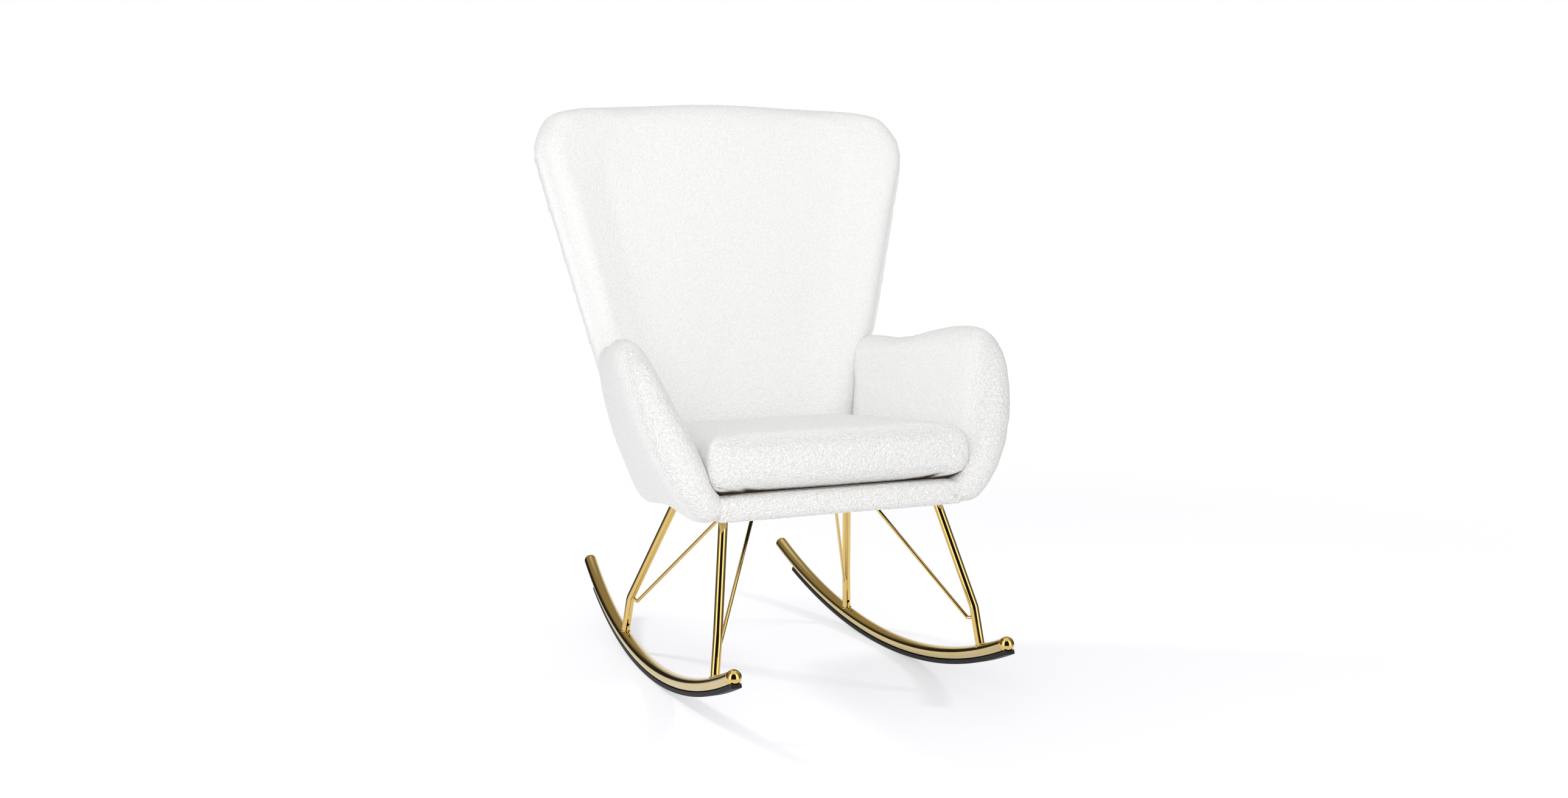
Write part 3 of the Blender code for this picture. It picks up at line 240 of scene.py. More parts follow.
# The floor fades out between two distances, and in the metal's mirror it does so nearer,
# where the dome's own white floor takes over.
FLOOR_CLEAR, FLOOR_FADED, FLOOR_END = 1.1, 2.5, 2.6
MIRROR_SHORTENS = 2.0
FLOOR_GLOW = 0.54
CLOUD_SCALE = 0.7
bpy.ops.mesh.primitive_circle_add(vertices=96, radius=FLOOR_END, fill_type="NGON", location=(0, 0, 0))
floor = bpy.context.object
floor.name = "studio_floor"
vinyl, tree, shader, place = new_finish("matt_white_vinyl", 0.0, 0.9, 0.0)
cloudy = add_node(tree, "TexNoise", {"Vector": place, "Scale": CLOUD_SCALE, "Detail": 2.0})
add_node(tree, "Mix", {MIX_SHARE: cloudy, MIX_FIRST: linear("#A9A9AB"), MIX_SECOND: linear("#A6A6A9")},
    to=shader.inputs["Base Color"], out=MIX_RESULT, data_type="RGBA")
shader.inputs["Emission Color"].default_value = linear("#FDFDFF")
shader.inputs["Emission Strength"].default_value = FLOOR_GLOW
reach = add_node(tree, "VectorMath", {0: place}, operation="LENGTH")
mirrored = add_node(tree, "LightPath").outputs["Is Glossy Ray"]
stretch = add_node(tree, "Math", {0: mirrored, 1: MIRROR_SHORTENS, 2: 1.0}, operation="MULTIPLY_ADD")
reach = add_node(tree, "Math", {0: reach.outputs["Value"], 1: stretch}, operation="MULTIPLY")
fade = add_node(tree, "MapRange", {"Value": reach, "From Min": FLOOR_CLEAR, "From Max": FLOOR_FADED},
    interpolation_type="SMOOTHSTEP")
beyond = add_node(tree, "BsdfTransparent")
add_node(tree, "MixShader", {0: fade, 1: shader.outputs["BSDF"], 2: beyond.outputs["BSDF"]},
    to=tree.nodes["Material Output"].inputs["Surface"])
floor.data.materials.append(vinyl)
# Two of the boxes only draw the faint crossed shadows of the base on the floor.
floor_only = bpy.data.collections.new("floor_only")
floor_only.objects.link(floor)
for lamp in floor_lamps:
    lamp.light_linking.receiver_collection = floor_only

# %% [markdown]
# ## Gold finishes
#
# The tubes are steel with a thin gold-coloured coating. Legs, rods and balls are
# polished, so they mirror the studio in sharp bands. The runners were brushed along
# their length before coating, which spreads the same bands into a satin shine. A
# metal needs little colour work: the base colour is its reflection colour, and the
# life comes from small changes of roughness.


# %% Gold-plated steel
SMEAR_MM = 60


def gold_plate(name, colour, worn, roughness, spread, grain_mm):
    """Plated steel; the grain is a fine cloudiness of the polish, in millimetres."""
    made, tree, shader, place = new_finish(name, 1.0, roughness)
    grain = add_node(tree, "TexNoise", {"Vector": place, "Scale": 1000 / grain_mm, "Detail": 3.0,
        "Roughness": 0.6})
    smear = add_node(tree, "TexNoise", {"Vector": place, "Scale": 1000 / SMEAR_MM, "Detail": 2.0})
    add_node(tree, "Mix", {MIX_SHARE: smear, MIX_FIRST: linear(colour), MIX_SECOND: linear(worn)},
        to=shader.inputs["Base Color"], out=MIX_RESULT, data_type="RGBA")
    add_node(tree, "MapRange", {"Value": grain, "To Min": roughness - spread,
        "To Max": roughness + spread}, to=shader.inputs["Roughness"])
    return made


polished_gold = gold_plate("polished_gold_plate", "#E4C67E", "#DCBB6E", roughness=0.06, spread=0.03,
    grain_mm=6)
satin_gold = gold_plate("satin_gold_plate", "#D5C18C", "#CBB47C", roughness=0.14, spread=0.04, grain_mm=2.5)
print("metals:", polished_gold.name, satin_gold.name)

# %% [markdown]
# ## Runners
#
# A runner is one round tube rolled to a single arc. The two arcs toe out to the
# front and lean in at the top, so each has its own tilted plane. A circle at the
# front end is spun about the centre of that arc, just as a pipe bender swings it.

# %% Runner lines
RUNNER_ARC_RADIUS = 1.098
RUNNER_HALF_CHORD = 0.449
RUNNER_HALF_GAP = 0.243
RUNNER_TOE = math.radians(2.13)
RUNNER_LEAN = math.radians(5.9)
RUNNER_RADIUS = 0.0125
STRIP_THICKNESS = 0.006
GAP = 0.0003
RUNNER_LOW_Z = STRIP_THICKNESS + GAP + RUNNER_RADIUS
END_ANGLE = math.asin(RUNNER_HALF_CHORD / RUNNER_ARC_RADIUS)


def runner_axes(side):
    """Directions along, up and across the plane of a runner's arc."""
    along = Vector((-side * math.tan(RUNNER_TOE), 1, 0)).normalized()
    up = Vector((-side * math.tan(RUNNER_LEAN), 0, 1))
    up = (up - along * up.dot(along)).normalized()
    return along, up, along.cross(up)


def arc_centre(side):
    return Vector((side * RUNNER_HALF_GAP, 0, RUNNER_LOW_Z)) + runner_axes(side)[1] * RUNNER_ARC_RADIUS


def runner_point(side, angle):
    along, up, _ = runner_axes(side)
    return arc_centre(side) + (along * math.sin(angle) - up * math.cos(angle)) * RUNNER_ARC_RADIUS


def runner_turn(side, angle):
    """Turn that puts +Z along a runner at an angle of its arc, and +X across the arc's plane."""
    along, up, across = runner_axes(side)
    ahead = along * math.cos(angle) + up * math.sin(angle)
    return Matrix((across, ahead.cross(across), ahead)).transposed().to_4x4()


print("runner ends turn by", round(math.degrees(END_ANGLE), 1), "degrees")


# %% Small modelling helpers
DOUBLE = 1e-6
SHARP = math.radians(40)
CRISP = math.radians(35)


def only(piece):
    """Make one object the selected and active one."""
    bpy.ops.object.select_all(action="DESELECT")
    piece.select_set(True)
    bpy.context.view_layer.objects.active = piece


def edit_all(piece):
    """Open a piece's mesh in edit mode, with all of it selected."""
    only(piece)
    bpy.ops.object.mode_set(mode="EDIT")
    bpy.ops.mesh.select_all(action="SELECT")


def placed(piece, matrix):
    """Move a new object's mesh to its place, and keep the object itself at the origin."""
    piece.matrix_world = matrix
    only(piece)
    bpy.ops.object.transform_apply(location=True, rotation=True, scale=True)


def apply_all(piece):
    """Apply every modifier of an object, in order."""
    only(piece)
    for step in [m.name for m in piece.modifiers]:
        bpy.ops.object.modifier_apply(modifier=step)


def outward(piece):
    """Merge doubles and point all faces outwards."""
    edit_all(piece)
    bpy.ops.mesh.remove_doubles(threshold=DOUBLE)
    bpy.ops.mesh.normals_make_consistent(inside=False)
    bpy.ops.object.mode_set(mode="OBJECT")


def hand_over(piece, name, slot, finish, *stands_for, body="chair"):
    """Name a finished piece, give it its finish, and tie it to the frame."""
    piece.name = name
    piece.data.name = name
    if not piece.data.materials:
        piece.data.materials.append(finish)
    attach(piece, body)
    if stands_for:
        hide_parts(*stands_for)
    triangles = sum(len(p.vertices) - 2 for p in piece.data.polygons)
    print(f"{name}: {triangles} triangles")
    return piece


# %% Runner tubes
RUNNER_SIDES = 40
RUNNER_STEPS = 110
for label, side in SIDES.items():
    bpy.ops.mesh.primitive_circle_add(vertices=RUNNER_SIDES, radius=RUNNER_RADIUS, fill_type="NGON")
    tube = bpy.context.object
    front = runner_point(side, -END_ANGLE)
    placed(tube, Matrix.Translation(front) @ runner_turn(side, -END_ANGLE))
    edit_all(tube)
    bpy.ops.mesh.spin(steps=RUNNER_STEPS, angle=-2 * END_ANGLE, center=arc_centre(side),
                      axis=runner_axes(side)[2])
    bpy.ops.object.mode_set(mode="OBJECT")
    outward(tube)
    bpy.ops.object.shade_smooth_by_angle(angle=SHARP)
    hand_over(tube, f"runner_tube_{label}", "gold", satin_gold, f"runner_{label}")
    low = np.array([v.co for v in tube.data.vertices]).min(0)

# %% [markdown]
# ## Runner ends
#
# A polished ball closes the front end; it is a little wider than the tube, so a
# thin shadow line shows where they meet. The rear end has a plain domed plug. Both
# start as primitives and get the neck that goes into the tube.

# %% Balls and plugs
BALL_RADIUS = 0.01325
BALL_OUT = GAP + math.sqrt(BALL_RADIUS ** 2 - RUNNER_RADIUS ** 2)
NECK_RADIUS = 0.0104
NECK_LENGTH = 0.014
NECK_STEP = 0.0016
NECK_START = BALL_RADIUS * 0.42
PLUG_LENGTH = 0.009
PLUG_DOME = PLUG_LENGTH * 0.88
for label, side in SIDES.items():
    bpy.ops.mesh.primitive_uv_sphere_add(segments=56, ring_count=36, radius=BALL_RADIUS)
    ball = bpy.context.object
    edit_all(ball)
    bpy.ops.mesh.bisect(plane_co=(0, 0, NECK_START), plane_no=(0, 0, 1), clear_outer=True, use_fill=True)
    bpy.ops.mesh.inset(thickness=NECK_STEP)
    bpy.ops.mesh.extrude_region_move(TRANSFORM_OT_translate={"value": (0, 0, NECK_LENGTH)})
    bpy.ops.object.mode_set(mode="OBJECT")
    front = runner_point(side, -END_ANGLE)
    turn = runner_turn(side, -END_ANGLE)
    placed(ball, Matrix.Translation(front) @ turn @ Matrix.Translation((0, 0, -BALL_OUT)))
    outward(ball)
    bpy.ops.object.shade_smooth_by_angle(angle=CRISP)
    hand_over(ball, f"runner_ball_{label}", "gold", polished_gold, f"runner_front_ball_{label}")

    bpy.ops.mesh.primitive_cylinder_add(vertices=48, radius=RUNNER_RADIUS, depth=PLUG_LENGTH,
                                        location=(0, 0, GAP + PLUG_LENGTH / 2))
    plug = bpy.context.object
    bpy.ops.object.transform_apply(location=True)
    bpy.ops.object.mode_set(mode="EDIT")
    bpy.ops.mesh.select_all(action="DESELECT")
    bpy.ops.object.mode_set(mode="OBJECT")
    for edge in plug.data.edges:
        edge.select = all(plug.data.vertices[i].co.z > PLUG_LENGTH * 0.9 for i in edge.vertices)
    bpy.ops.object.mode_set(mode="EDIT")
    bpy.ops.mesh.bevel(offset=PLUG_DOME, segments=8, profile=0.55)
    bpy.ops.mesh.select_all(action="DESELECT")
    bpy.ops.object.mode_set(mode="OBJECT")
    for face in plug.data.polygons:
        face.select = face.normal.z < -0.9
    bpy.ops.object.mode_set(mode="EDIT")
    bpy.ops.mesh.inset(thickness=RUNNER_RADIUS - NECK_RADIUS)
    bpy.ops.mesh.extrude_region_move(TRANSFORM_OT_translate={"value": (0, 0, -NECK_LENGTH)})
    bpy.ops.object.mode_set(mode="OBJECT")
    placed(plug, Matrix.Translation(runner_point(side, END_ANGLE)) @ runner_turn(side, END_ANGLE))
    outward(plug)
    bpy.ops.object.shade_smooth_by_angle(angle=CRISP)
    hand_over(plug, f"runner_plug_{label}", "gold", satin_gold, f"runner_rear_cap_{label}")

# %% [markdown]
# ## Anti-slip strips
#
# Each runner wears an extruded rubber channel underneath: a flat sole with two lips
# that hug the tube. The section is drawn once as a small face and spun along the
# same arc. Rubber is matt and nearly black, with a fine open grain.

# %% Rubber
BLOOM_MM = 18
PORE_MM = 0.8
rubber, tree, shader, place = new_finish("black_extruded_rubber", 0.0, 0.62, 0.35)
bloom = add_node(tree, "TexNoise", {"Vector": place, "Scale": 1000 / BLOOM_MM, "Detail": 4.0})
add_node(tree, "Mix", {MIX_SHARE: bloom, MIX_FIRST: linear("#0F0F0E"), MIX_SECOND: linear("#1C1B1A")},
    to=shader.inputs["Base Color"], out=MIX_RESULT, data_type="RGBA")
pores = add_node(tree, "TexNoise", {"Vector": place, "Scale": 1000 / PORE_MM, "Detail": 2.0})
add_node(tree, "Bump", {"Height": pores, "Strength": 0.25, "Distance": 0.0003}, to=shader.inputs["Normal"])
print("rubber:", rubber.name)

# %% Strips
STRIP_HALF = 0.009
STRIP_LIP = 0.0022
STRIP_CHAMFER = 0.0006
STRIP_STEPS = 90
STRIP_OVERRUN, STRIP_SHORT = 0.011, 0.074
STRIP_FRONT = -END_ANGLE - STRIP_OVERRUN / RUNNER_ARC_RADIUS
STRIP_REAR = END_ANGLE - STRIP_SHORT / RUNNER_ARC_RADIUS
for label, side in SIDES.items():
    bpy.ops.mesh.primitive_grid_add(x_subdivisions=12, y_subdivisions=2, size=1)
    strip = bpy.context.object
    sole = -RUNNER_RADIUS - GAP - STRIP_THICKNESS
    for v in strip.data.vertices:
        across = v.co.x * 2 * STRIP_HALF
        hug = -math.sqrt((RUNNER_RADIUS + GAP) ** 2 - across ** 2)
        lip = min(hug, -RUNNER_RADIUS - GAP + STRIP_LIP) - GAP
        floor_level = sole + STRIP_CHAMFER * (abs(v.co.x) > 0.45)
        share = v.co.y + 0.5
        v.co = (across, 0, floor_level + (lip - floor_level) * share)
    lean = Matrix.Rotation(side * RUNNER_LEAN, 4, "Y")
    along, up, across = runner_axes(side)
    ahead = along * math.cos(STRIP_FRONT) + up * math.sin(STRIP_FRONT)
    section = Matrix((across, ahead, across.cross(ahead))).transposed().to_4x4()
    placed(strip, Matrix.Translation(runner_point(side, STRIP_FRONT)) @ section @ lean)
    edit_all(strip)
    bpy.ops.mesh.spin(steps=STRIP_STEPS, angle=STRIP_FRONT - STRIP_REAR, center=arc_centre(side),
        axis=across)
    bpy.ops.object.mode_set(mode="OBJECT")
    outward(strip)
    bpy.ops.object.shade_smooth_by_angle(angle=CRISP)
    hand_over(strip, f"rubber_strip_{label}", "rubber", rubber, f"anti_slip_strip_{label}")
    low = np.array([v.co for v in strip.data.vertices]).min(0)
    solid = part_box(f"anti_slip_strip_{label}")[0]
    print("  lowest corner", low.round(4), "solid", [round(c, 4) for c in solid])

# %% [markdown]
# ## Legs, rods and welds
#
# Each leg is a straight tube with one kink, cut to sit on the runner and welded all
# round. Each thin rod leaves a leg at its kink and runs up under the seat. A curve
# with a round bevel gives both. The weld is a bead that follows the saddle line
# where leg and runner meet, which is found by walking up the leg's wall until it
# leaves the runner.

# %% Seat plane and the lines of the base
SEAT_RAKE = math.radians(2.86)
SEAT_MATRIX = Matrix.Translation((0, -0.335, 0.340)) @ Matrix.Rotation(-SEAT_RAKE, 4, "X")
SEAT_BACK = SEAT_MATRIX.inverted()
STEEL_LOW = 0.015
LEG_RADIUS = 0.008
KINK_RADIUS = 0.03
ROD_RADIUS = 0.00325
ROD_BEND = ROD_RADIUS * 1.05
ROD_STUB = 0.004
ROD_SINK = 0.0006
FOOT_START = RUNNER_RADIUS * 0.55
LEGS = {
    "front": {"foot_y": -0.367, "kink": (0.010, 0.010, 0.078), "top": (0.199, 0.0545),
              "rod_rise": 0.060, "rod_top": (0.1025, 0.144)},
    "rear": {"foot_y": 0.158, "kink": (0.0075, -0.014, 0.076), "top": (0.1675, 0.349),
             "rod_rise": 0.079, "rod_top": (0.0868, 0.237)},
}


def seat_points(node):
    """A solid's corners in the seat's own directions: across, to the rear, up."""
    return np.array([SEAT_BACK @ v.co for v in nodes[node].data.vertices])


def leg_points(line, side):
    """Foot on the runner's centre line, kink, and top under the side bar."""
    along = runner_axes(side)[0]
    foot = runner_point(side, math.asin(line["foot_y"] / (along.y * RUNNER_ARC_RADIUS)))
    inwards, back, rise = line["kink"]
    top_u, top_v = line["top"]
    kink = foot + Vector((-side * inwards, back, rise))
    return foot, kink, SEAT_MATRIX @ Vector((side * top_u, top_v, STEEL_LOW - GAP))


def bent_line(start, corner, finish, radius, steps=12):
    """Straight, arc, straight through three points."""
    first = (corner - start).normalized()
    last = (finish - corner).normalized()
    bend = first.angle(last)
    axis = first.cross(last).normalized()
    inward = axis.cross(first)
    begin = corner - first * (radius * math.tan(bend / 2))
    centre = begin + inward * radius
    spoke = -inward * radius
    arc = [centre + Matrix.Rotation(bend * i / steps, 3, axis) @ spoke for i in range(steps + 1)]
    return [start] + arc + [finish]


def round_bar(points, radius, closed=False, swell=None):
    """A round bar along a line: a curve with a round bevel, made a mesh."""
    bpy.ops.curve.primitive_nurbs_path_add()
    bar = bpy.context.object
    bar.data.splines.clear()
    line = bar.data.splines.new("POLY")
    line.points.add(len(points) - 1)
    for i, (spot, point) in enumerate(zip(line.points, points)):
        spot.co = (*point, 1.0)
        spot.radius = 1.0 if swell is None else swell[i]
    line.use_cyclic_u = closed
    bar.data.bevel_depth = radius
    bar.data.bevel_resolution = 7
    bar.data.use_fill_caps = not closed
    only(bar)
    bpy.ops.object.convert(target="MESH")
    bar = bpy.context.object
    outward(bar)
    bpy.ops.object.shade_smooth_by_angle(angle=SHARP)
    return bar


SADDLE_REACH = 0.05
SADDLE_HALVINGS = 30


def saddle(foot, ahead, side, count=40):
    """Closed line where a leg's wall leaves the runner's wall."""
    across = runner_axes(side)[2]
    centre = arc_centre(side)
    first = ahead.orthogonal().normalized()
    second = ahead.cross(first)
    line = []
    for i in range(count):
        turn = math.tau * i / count
        wall = foot + (first * math.cos(turn) + second * math.sin(turn)) * LEG_RADIUS
        low, high = 0.0, SADDLE_REACH
        for _ in range(SADDLE_HALVINGS):
            reach = (low + high) / 2
            spoke = wall + ahead * reach - centre
            off = spoke.dot(across)
            radial = math.sqrt(spoke.length_squared - off * off) - RUNNER_ARC_RADIUS
            if math.hypot(off, radial) < RUNNER_RADIUS:
                low = reach
            else:
                high = reach
        line.append(wall + ahead * high)
    return line


# %% Make the legs, rods and welds
WELD_RADIUS = 0.0019
WELD_SINK = 0.0004
VENT_RADIUS = 0.003
VENT_UP = 0.024
BORE_MOTTLE_MM = 2.5
# The inside of a leg, seen through its vent: painted shade. Bare steel lies in the dark there, so it is
# coloured almost black, with a faint brown mottle.
vent_dark, tree, shader, place = new_finish("unlit_bore", 0.0, 0.9, 0.1)
bore_mottle = add_node(tree, "TexNoise", {"Vector": place, "Scale": 1000 / BORE_MOTTLE_MM})
add_node(tree, "Mix", {MIX_SHARE: bore_mottle, MIX_FIRST: linear("#0A0806"), MIX_SECOND: linear("#1A140C")},
    to=shader.inputs["Base Color"], out=MIX_RESULT, data_type="RGBA")

for label, side in SIDES.items():
    for end, line in LEGS.items():
        foot, kink, top = leg_points(line, side)
        ahead = (kink - foot).normalized()
        inside = foot + ahead * FOOT_START
        leg = round_bar(bent_line(inside, kink, top, KINK_RADIUS), LEG_RADIUS)
        leg.data.materials.append(polished_gold)
        if end == "rear":
            bpy.ops.mesh.primitive_cylinder_add(vertices=28, radius=VENT_RADIUS, depth=LEG_RADIUS)
            drill = bpy.context.object
            drill.data.materials.append(vent_dark)
            out = Matrix.Rotation(math.pi / 2, 4, "X")
            mouth = foot + ahead * VENT_UP + Vector((0, -LEG_RADIUS, 0))
            placed(drill, Matrix.Translation(mouth) @ out)
            hole = leg.modifiers.new("vent", "BOOLEAN")
            hole.object = drill
            hole.solver = "EXACT"
            hole.material_mode = "TRANSFER"
            apply_all(leg)
            bpy.data.objects.remove(drill)
            only(leg)
            bpy.ops.object.shade_smooth_by_angle(angle=SHARP)
        hand_over(leg, f"leg_tube_{end}_{label}", "gold", polished_gold, f"leg_{end}_{label}")

        ring = saddle(foot, ahead, side)
        # The bead is laid in uneven drops.
        swell = [1 + 0.10 * math.sin(i * 2.1) + 0.06 * math.sin(i * 0.9) for i in range(len(ring))]
        bead = round_bar([p - ahead * WELD_SINK for p in ring], WELD_RADIUS, closed=True, swell=swell)
        hand_over(bead, f"weld_{end}_{label}", "gold", polished_gold)

        rise = line["rod_rise"]
        low, high = (foot, kink) if foot.z + rise < kink.z else (kink, top)
        wall = (high - low).normalized()
        on_leg = low + wall * ((foot.z + rise - low.z) / wall.z)
        rod_top = SEAT_MATRIX @ Vector((side * line["rod_top"][0], line["rod_top"][1], STEEL_LOW - GAP))
        out = rod_top - on_leg
        out = (out - wall * out.dot(wall)).normalized()
        start = on_leg + out * (LEG_RADIUS - ROD_SINK)
        corner = on_leg + out * (LEG_RADIUS + 2 * GAP + ROD_STUB + ROD_RADIUS)
        rod = round_bar(bent_line(start, corner, rod_top, ROD_BEND, steps=8), ROD_RADIUS)
        hand_over(rod, f"brace_rod_{end}_{label}", "gold", polished_gold, f"brace_{end}_{label}")

# %% [markdown]
# ## Looped-pile cloth
#
# The cover is a white polyester teddy cloth: short loops that curl into tufts a few millimetres across. The
# eye reads it as thousands of soft crumbs, bright on their crests and a little warmer and darker between
# them, with a faint glow at grazing angles from the loose fibre ends. The darker, warmer colour between the
# loops is painted shade. The larger tufts are modelled in the mesh; this finish adds the fine loops on top
# of them.

# %% Teddy cloth
LOOP_MM = 3.2
LOOP_DEPTH = 0.0018
LOOP_BEND_MM = 7
LOOP_BEND = (0.006, 0.006, 0.006)
FIBRE_MM = 1.1
FIBRE_SHARE = 0.45
LINING_AND_GAP_SHADE = "#4A3A28"


def pile_cloth(name, crest, valley_shade, open_valley_shade):
    """Looped pile with painted shade: the gaps between loops are coloured darker. Where a pad's "open"
    value is high the loops part and show deeper gaps, with deeper bumps and a darker painted shade.
    """
    made, tree, shader, place = new_finish(name, 0.0, 0.92, 0.12)
    shader.inputs["Sheen Weight"].default_value = 0.02
    shader.inputs["Sheen Roughness"].default_value = 0.45
    shader.inputs["Sheen Tint"].default_value = linear("#FFFFFF")
    opened = add_node(tree, "Attribute", attribute_name="open").outputs["Fac"]
    bend = add_node(tree, "TexNoise", {"Vector": place, "Scale": 1000 / LOOP_BEND_MM, "Detail": 2.0})
    bent = add_node(tree, "VectorMath", {0: bend.outputs["Color"], 1: LOOP_BEND, 2: place},
        operation="MULTIPLY_ADD")
    loops = add_node(tree, "TexVoronoi", {"Vector": bent, "Scale": 1000 / LOOP_MM, "Smoothness": 0.35},
        feature="SMOOTH_F1")
    rise = add_node(tree, "MapRange", {"Value": loops, "From Min": 0.05, "From Max": 0.75, "To Min": 1.0,
        "To Max": 0.0})
    fibres = add_node(tree, "TexNoise", {"Vector": place, "Scale": 1000 / FIBRE_MM, "Detail": 3.0})
    height = add_node(tree, "Math", {0: fibres, 1: FIBRE_SHARE, 2: rise}, operation="MULTIPLY_ADD")
    depth = add_node(tree, "MapRange", {"Value": opened, "To Min": 0.45, "To Max": 1.0})
    height = add_node(tree, "Math", {0: height, 1: depth}, operation="MULTIPLY")
    add_node(tree, "Bump", {"Height": height, "Strength": 1.0, "Distance": LOOP_DEPTH},
        to=shader.inputs["Normal"])
    # Painted shade: the valleys between the loops are coloured darker than the crests, and darker still
    # where the pile opens.
    gap_shade = add_node(tree, "Mix", {MIX_SHARE: opened, MIX_FIRST: linear(valley_shade),
        MIX_SECOND: linear(open_valley_shade)}, data_type="RGBA")
    shaded_loop_colour = add_node(tree, "Mix", {MIX_SHARE: rise, MIX_FIRST: gap_shade.outputs[MIX_RESULT],
        MIX_SECOND: linear(crest)}, data_type="RGBA")
    # Under a loose cushion the pile gives way to a plain brown lining; its dark colour is also painted
    # shade for the shadow line in the gap above the rail.
    lining_gap_shade = add_node(tree, "Attribute", attribute_name="lining_gap_shade").outputs["Fac"]
    add_node(tree, "Mix", {MIX_SHARE: lining_gap_shade, MIX_FIRST: shaded_loop_colour.outputs[MIX_RESULT],
        MIX_SECOND: linear(LINING_AND_GAP_SHADE)}, to=shader.inputs["Base Color"], out=MIX_RESULT, data_type="RGBA")
    return made


teddy = pile_cloth("white_teddy_cloth", crest="#FBFBFA", valley_shade="#F3F3F2", open_valley_shade="#E7E6E3")
print("cloth:", teddy.name, "with loops of", LOOP_MM, "mm")

# %% [markdown]
# ## Padding
#
# Foam under cloth is firm and rounded: it swells a little between the lines where
# the cloth is held. Each pad starts as a copy of its solid. The copy is merged,
# rebuilt as an even net of small squares, drawn in a little, and then blown up from
# inside with Blender's cloth simulation until the cloth is taut. How far a point
# may move is capped, so the chair keeps its measured outline.


# %% Tools for padding
MERGE = 1e-5
PRESS_REACH = 0.02


def points_of(piece):
    flat = np.empty(len(piece.data.vertices) * 3)
    piece.data.vertices.foreach_get("co", flat)
    return flat.reshape(-1, 3)


def set_points(piece, points):
    piece.data.vertices.foreach_set("co", points.ravel())
    piece.data.update()


def soft_copy(*names):
    """A merged copy of one or more solids' meshes, with the solids left as they are."""
    copies = []
    for name in names:
        copies.append(bpy.data.objects.new(name, nodes[name].data.copy()))
        copies[-1].data.materials.clear()
        bpy.context.collection.objects.link(copies[-1])
    pad = copies[0]
    only(pad)
    for other in copies[1:]:
        other.select_set(True)
    if len(copies) > 1:
        bpy.ops.object.join()
    edit_all(pad)
    bpy.ops.mesh.remove_doubles(threshold=MERGE)
    bpy.ops.object.mode_set(mode="OBJECT")
    return pad


def even_net(pad, voxel, rounds, draw_in):
    """Rebuild a pad as an even net, ease its facets away and draw it in a little."""
    only(pad)
    pad.data.remesh_voxel_size = voxel
    bpy.ops.object.voxel_remesh()
    ease = pad.modifiers.new("ease", "SMOOTH")
    ease.factor = 0.5
    ease.iterations = rounds
    apply_all(pad)
    edit_all(pad)
    bpy.ops.transform.shrink_fatten(value=-draw_in)
    bpy.ops.object.mode_set(mode="OBJECT")


def normals_of(piece):
    flat = np.empty(len(piece.data.vertices) * 3)
    piece.data.vertex_normals.foreach_get("vector", flat)
    return flat.reshape(-1, 3)


def square_up(pad, faces, depth):
    """Fill out a roundover next to a broad face, so that edge and face part more clearly."""
    normals = normals_of(pad)
    lean = np.clip((normals * faces).sum(1), 0, 1)
    corner = (2 * lean * np.sqrt(1 - lean ** 2)) ** 2
    set_points(pad, points_of(pad) + normals * (depth * corner)[:, None])


def pucker(pad, spot, reach, depth, folds):
    """Gather the cloth in small folds that run out from a spot, as where it is pulled into a seam."""
    points = points_of(pad)
    away = points - np.array(spot)
    turn = np.arctan2(away[:, 2], away[:, 0])
    fold = depth * np.cos(folds * turn) * np.exp(-(np.linalg.norm(away, axis=1) / reach) ** 2)
    set_points(pad, points + normals_of(pad) * fold[:, None])


def blow_up(pad, pressure, cap, frames=12):
    """Swell a closed pad from inside; no point moves further than the cap."""
    start = points_of(pad)
    only(pad)
    swell = pad.modifiers.new("swell", "CLOTH")
    swell.settings.use_pressure = True
    swell.settings.uniform_pressure_force = pressure
    swell.settings.effector_weights.gravity = 0
    swell.settings.quality = 4
    swell.collision_settings.use_collision = False
    swell.point_cache.frame_start, swell.point_cache.frame_end = 1, frames
    scene = bpy.context.scene
    for step in range(1, frames + 1):
        scene.frame_set(step)
    bpy.ops.object.modifier_apply(modifier=swell.name)
    scene.frame_set(1)
    move = points_of(pad) - start
    length = np.linalg.norm(move, axis=1)
    print(f"  swelled by up to {length.max() * 1000:.1f} mm, {length.mean() * 1000:.1f} mm on average")
    eased = cap * np.tanh(length / cap) / np.maximum(length, 1e-9)
    set_points(pad, start + move * eased[:, None])


def finer(pad, times):
    """Halve the squares of a pad's net, once or more."""
    split = pad.modifiers.new("finer", "SUBSURF")
    split.levels = split.render_levels = times
    apply_all(pad)


TUFT_SIZE = 0.0068
CURL_SIZE = TUFT_SIZE * 0.55
SWAY_SIZE = 0.11


def tuft(pad, height, sway, opened):
    """Raise the cloth's tufts over slightly uneven padding, and note where the pile opens."""
    note = pad.data.attributes.new("open", "FLOAT", "POINT")
    note.data.foreach_set("value", np.broadcast_to(opened, len(pad.data.vertices)).astype(np.float32))
    for name, kind, size, strength in (("sway", "CLOUDS", SWAY_SIZE, sway),
                                       ("tufts", "VORONOI", TUFT_SIZE, -height),
                                       ("curls", "CLOUDS", CURL_SIZE, height * 0.8)):
        pattern = bpy.data.textures.new(name, kind)
        pattern.noise_scale = size
        lift = pad.modifiers.new(name, "DISPLACE")
        lift.texture = pattern
        lift.texture_coords = "LOCAL"
        lift.mid_level = 0.5
        lift.strength = strength
    apply_all(pad)
    bpy.ops.object.shade_smooth()


def give_way(pad, other):
    """Press a pad's points out of a neighbour, to just outside its surface."""
    points = points_of(pad)
    wall = BVHTree.FromObject(other, bpy.context.evaluated_depsgraph_get())
    for i, point in enumerate(points):
        spot, normal, _, _ = wall.find_nearest(Vector(point), PRESS_REACH)
        if spot and (Vector(point) - spot).dot(normal) < 0:
            points[i] = spot + normal * GAP
    set_points(pad, points)


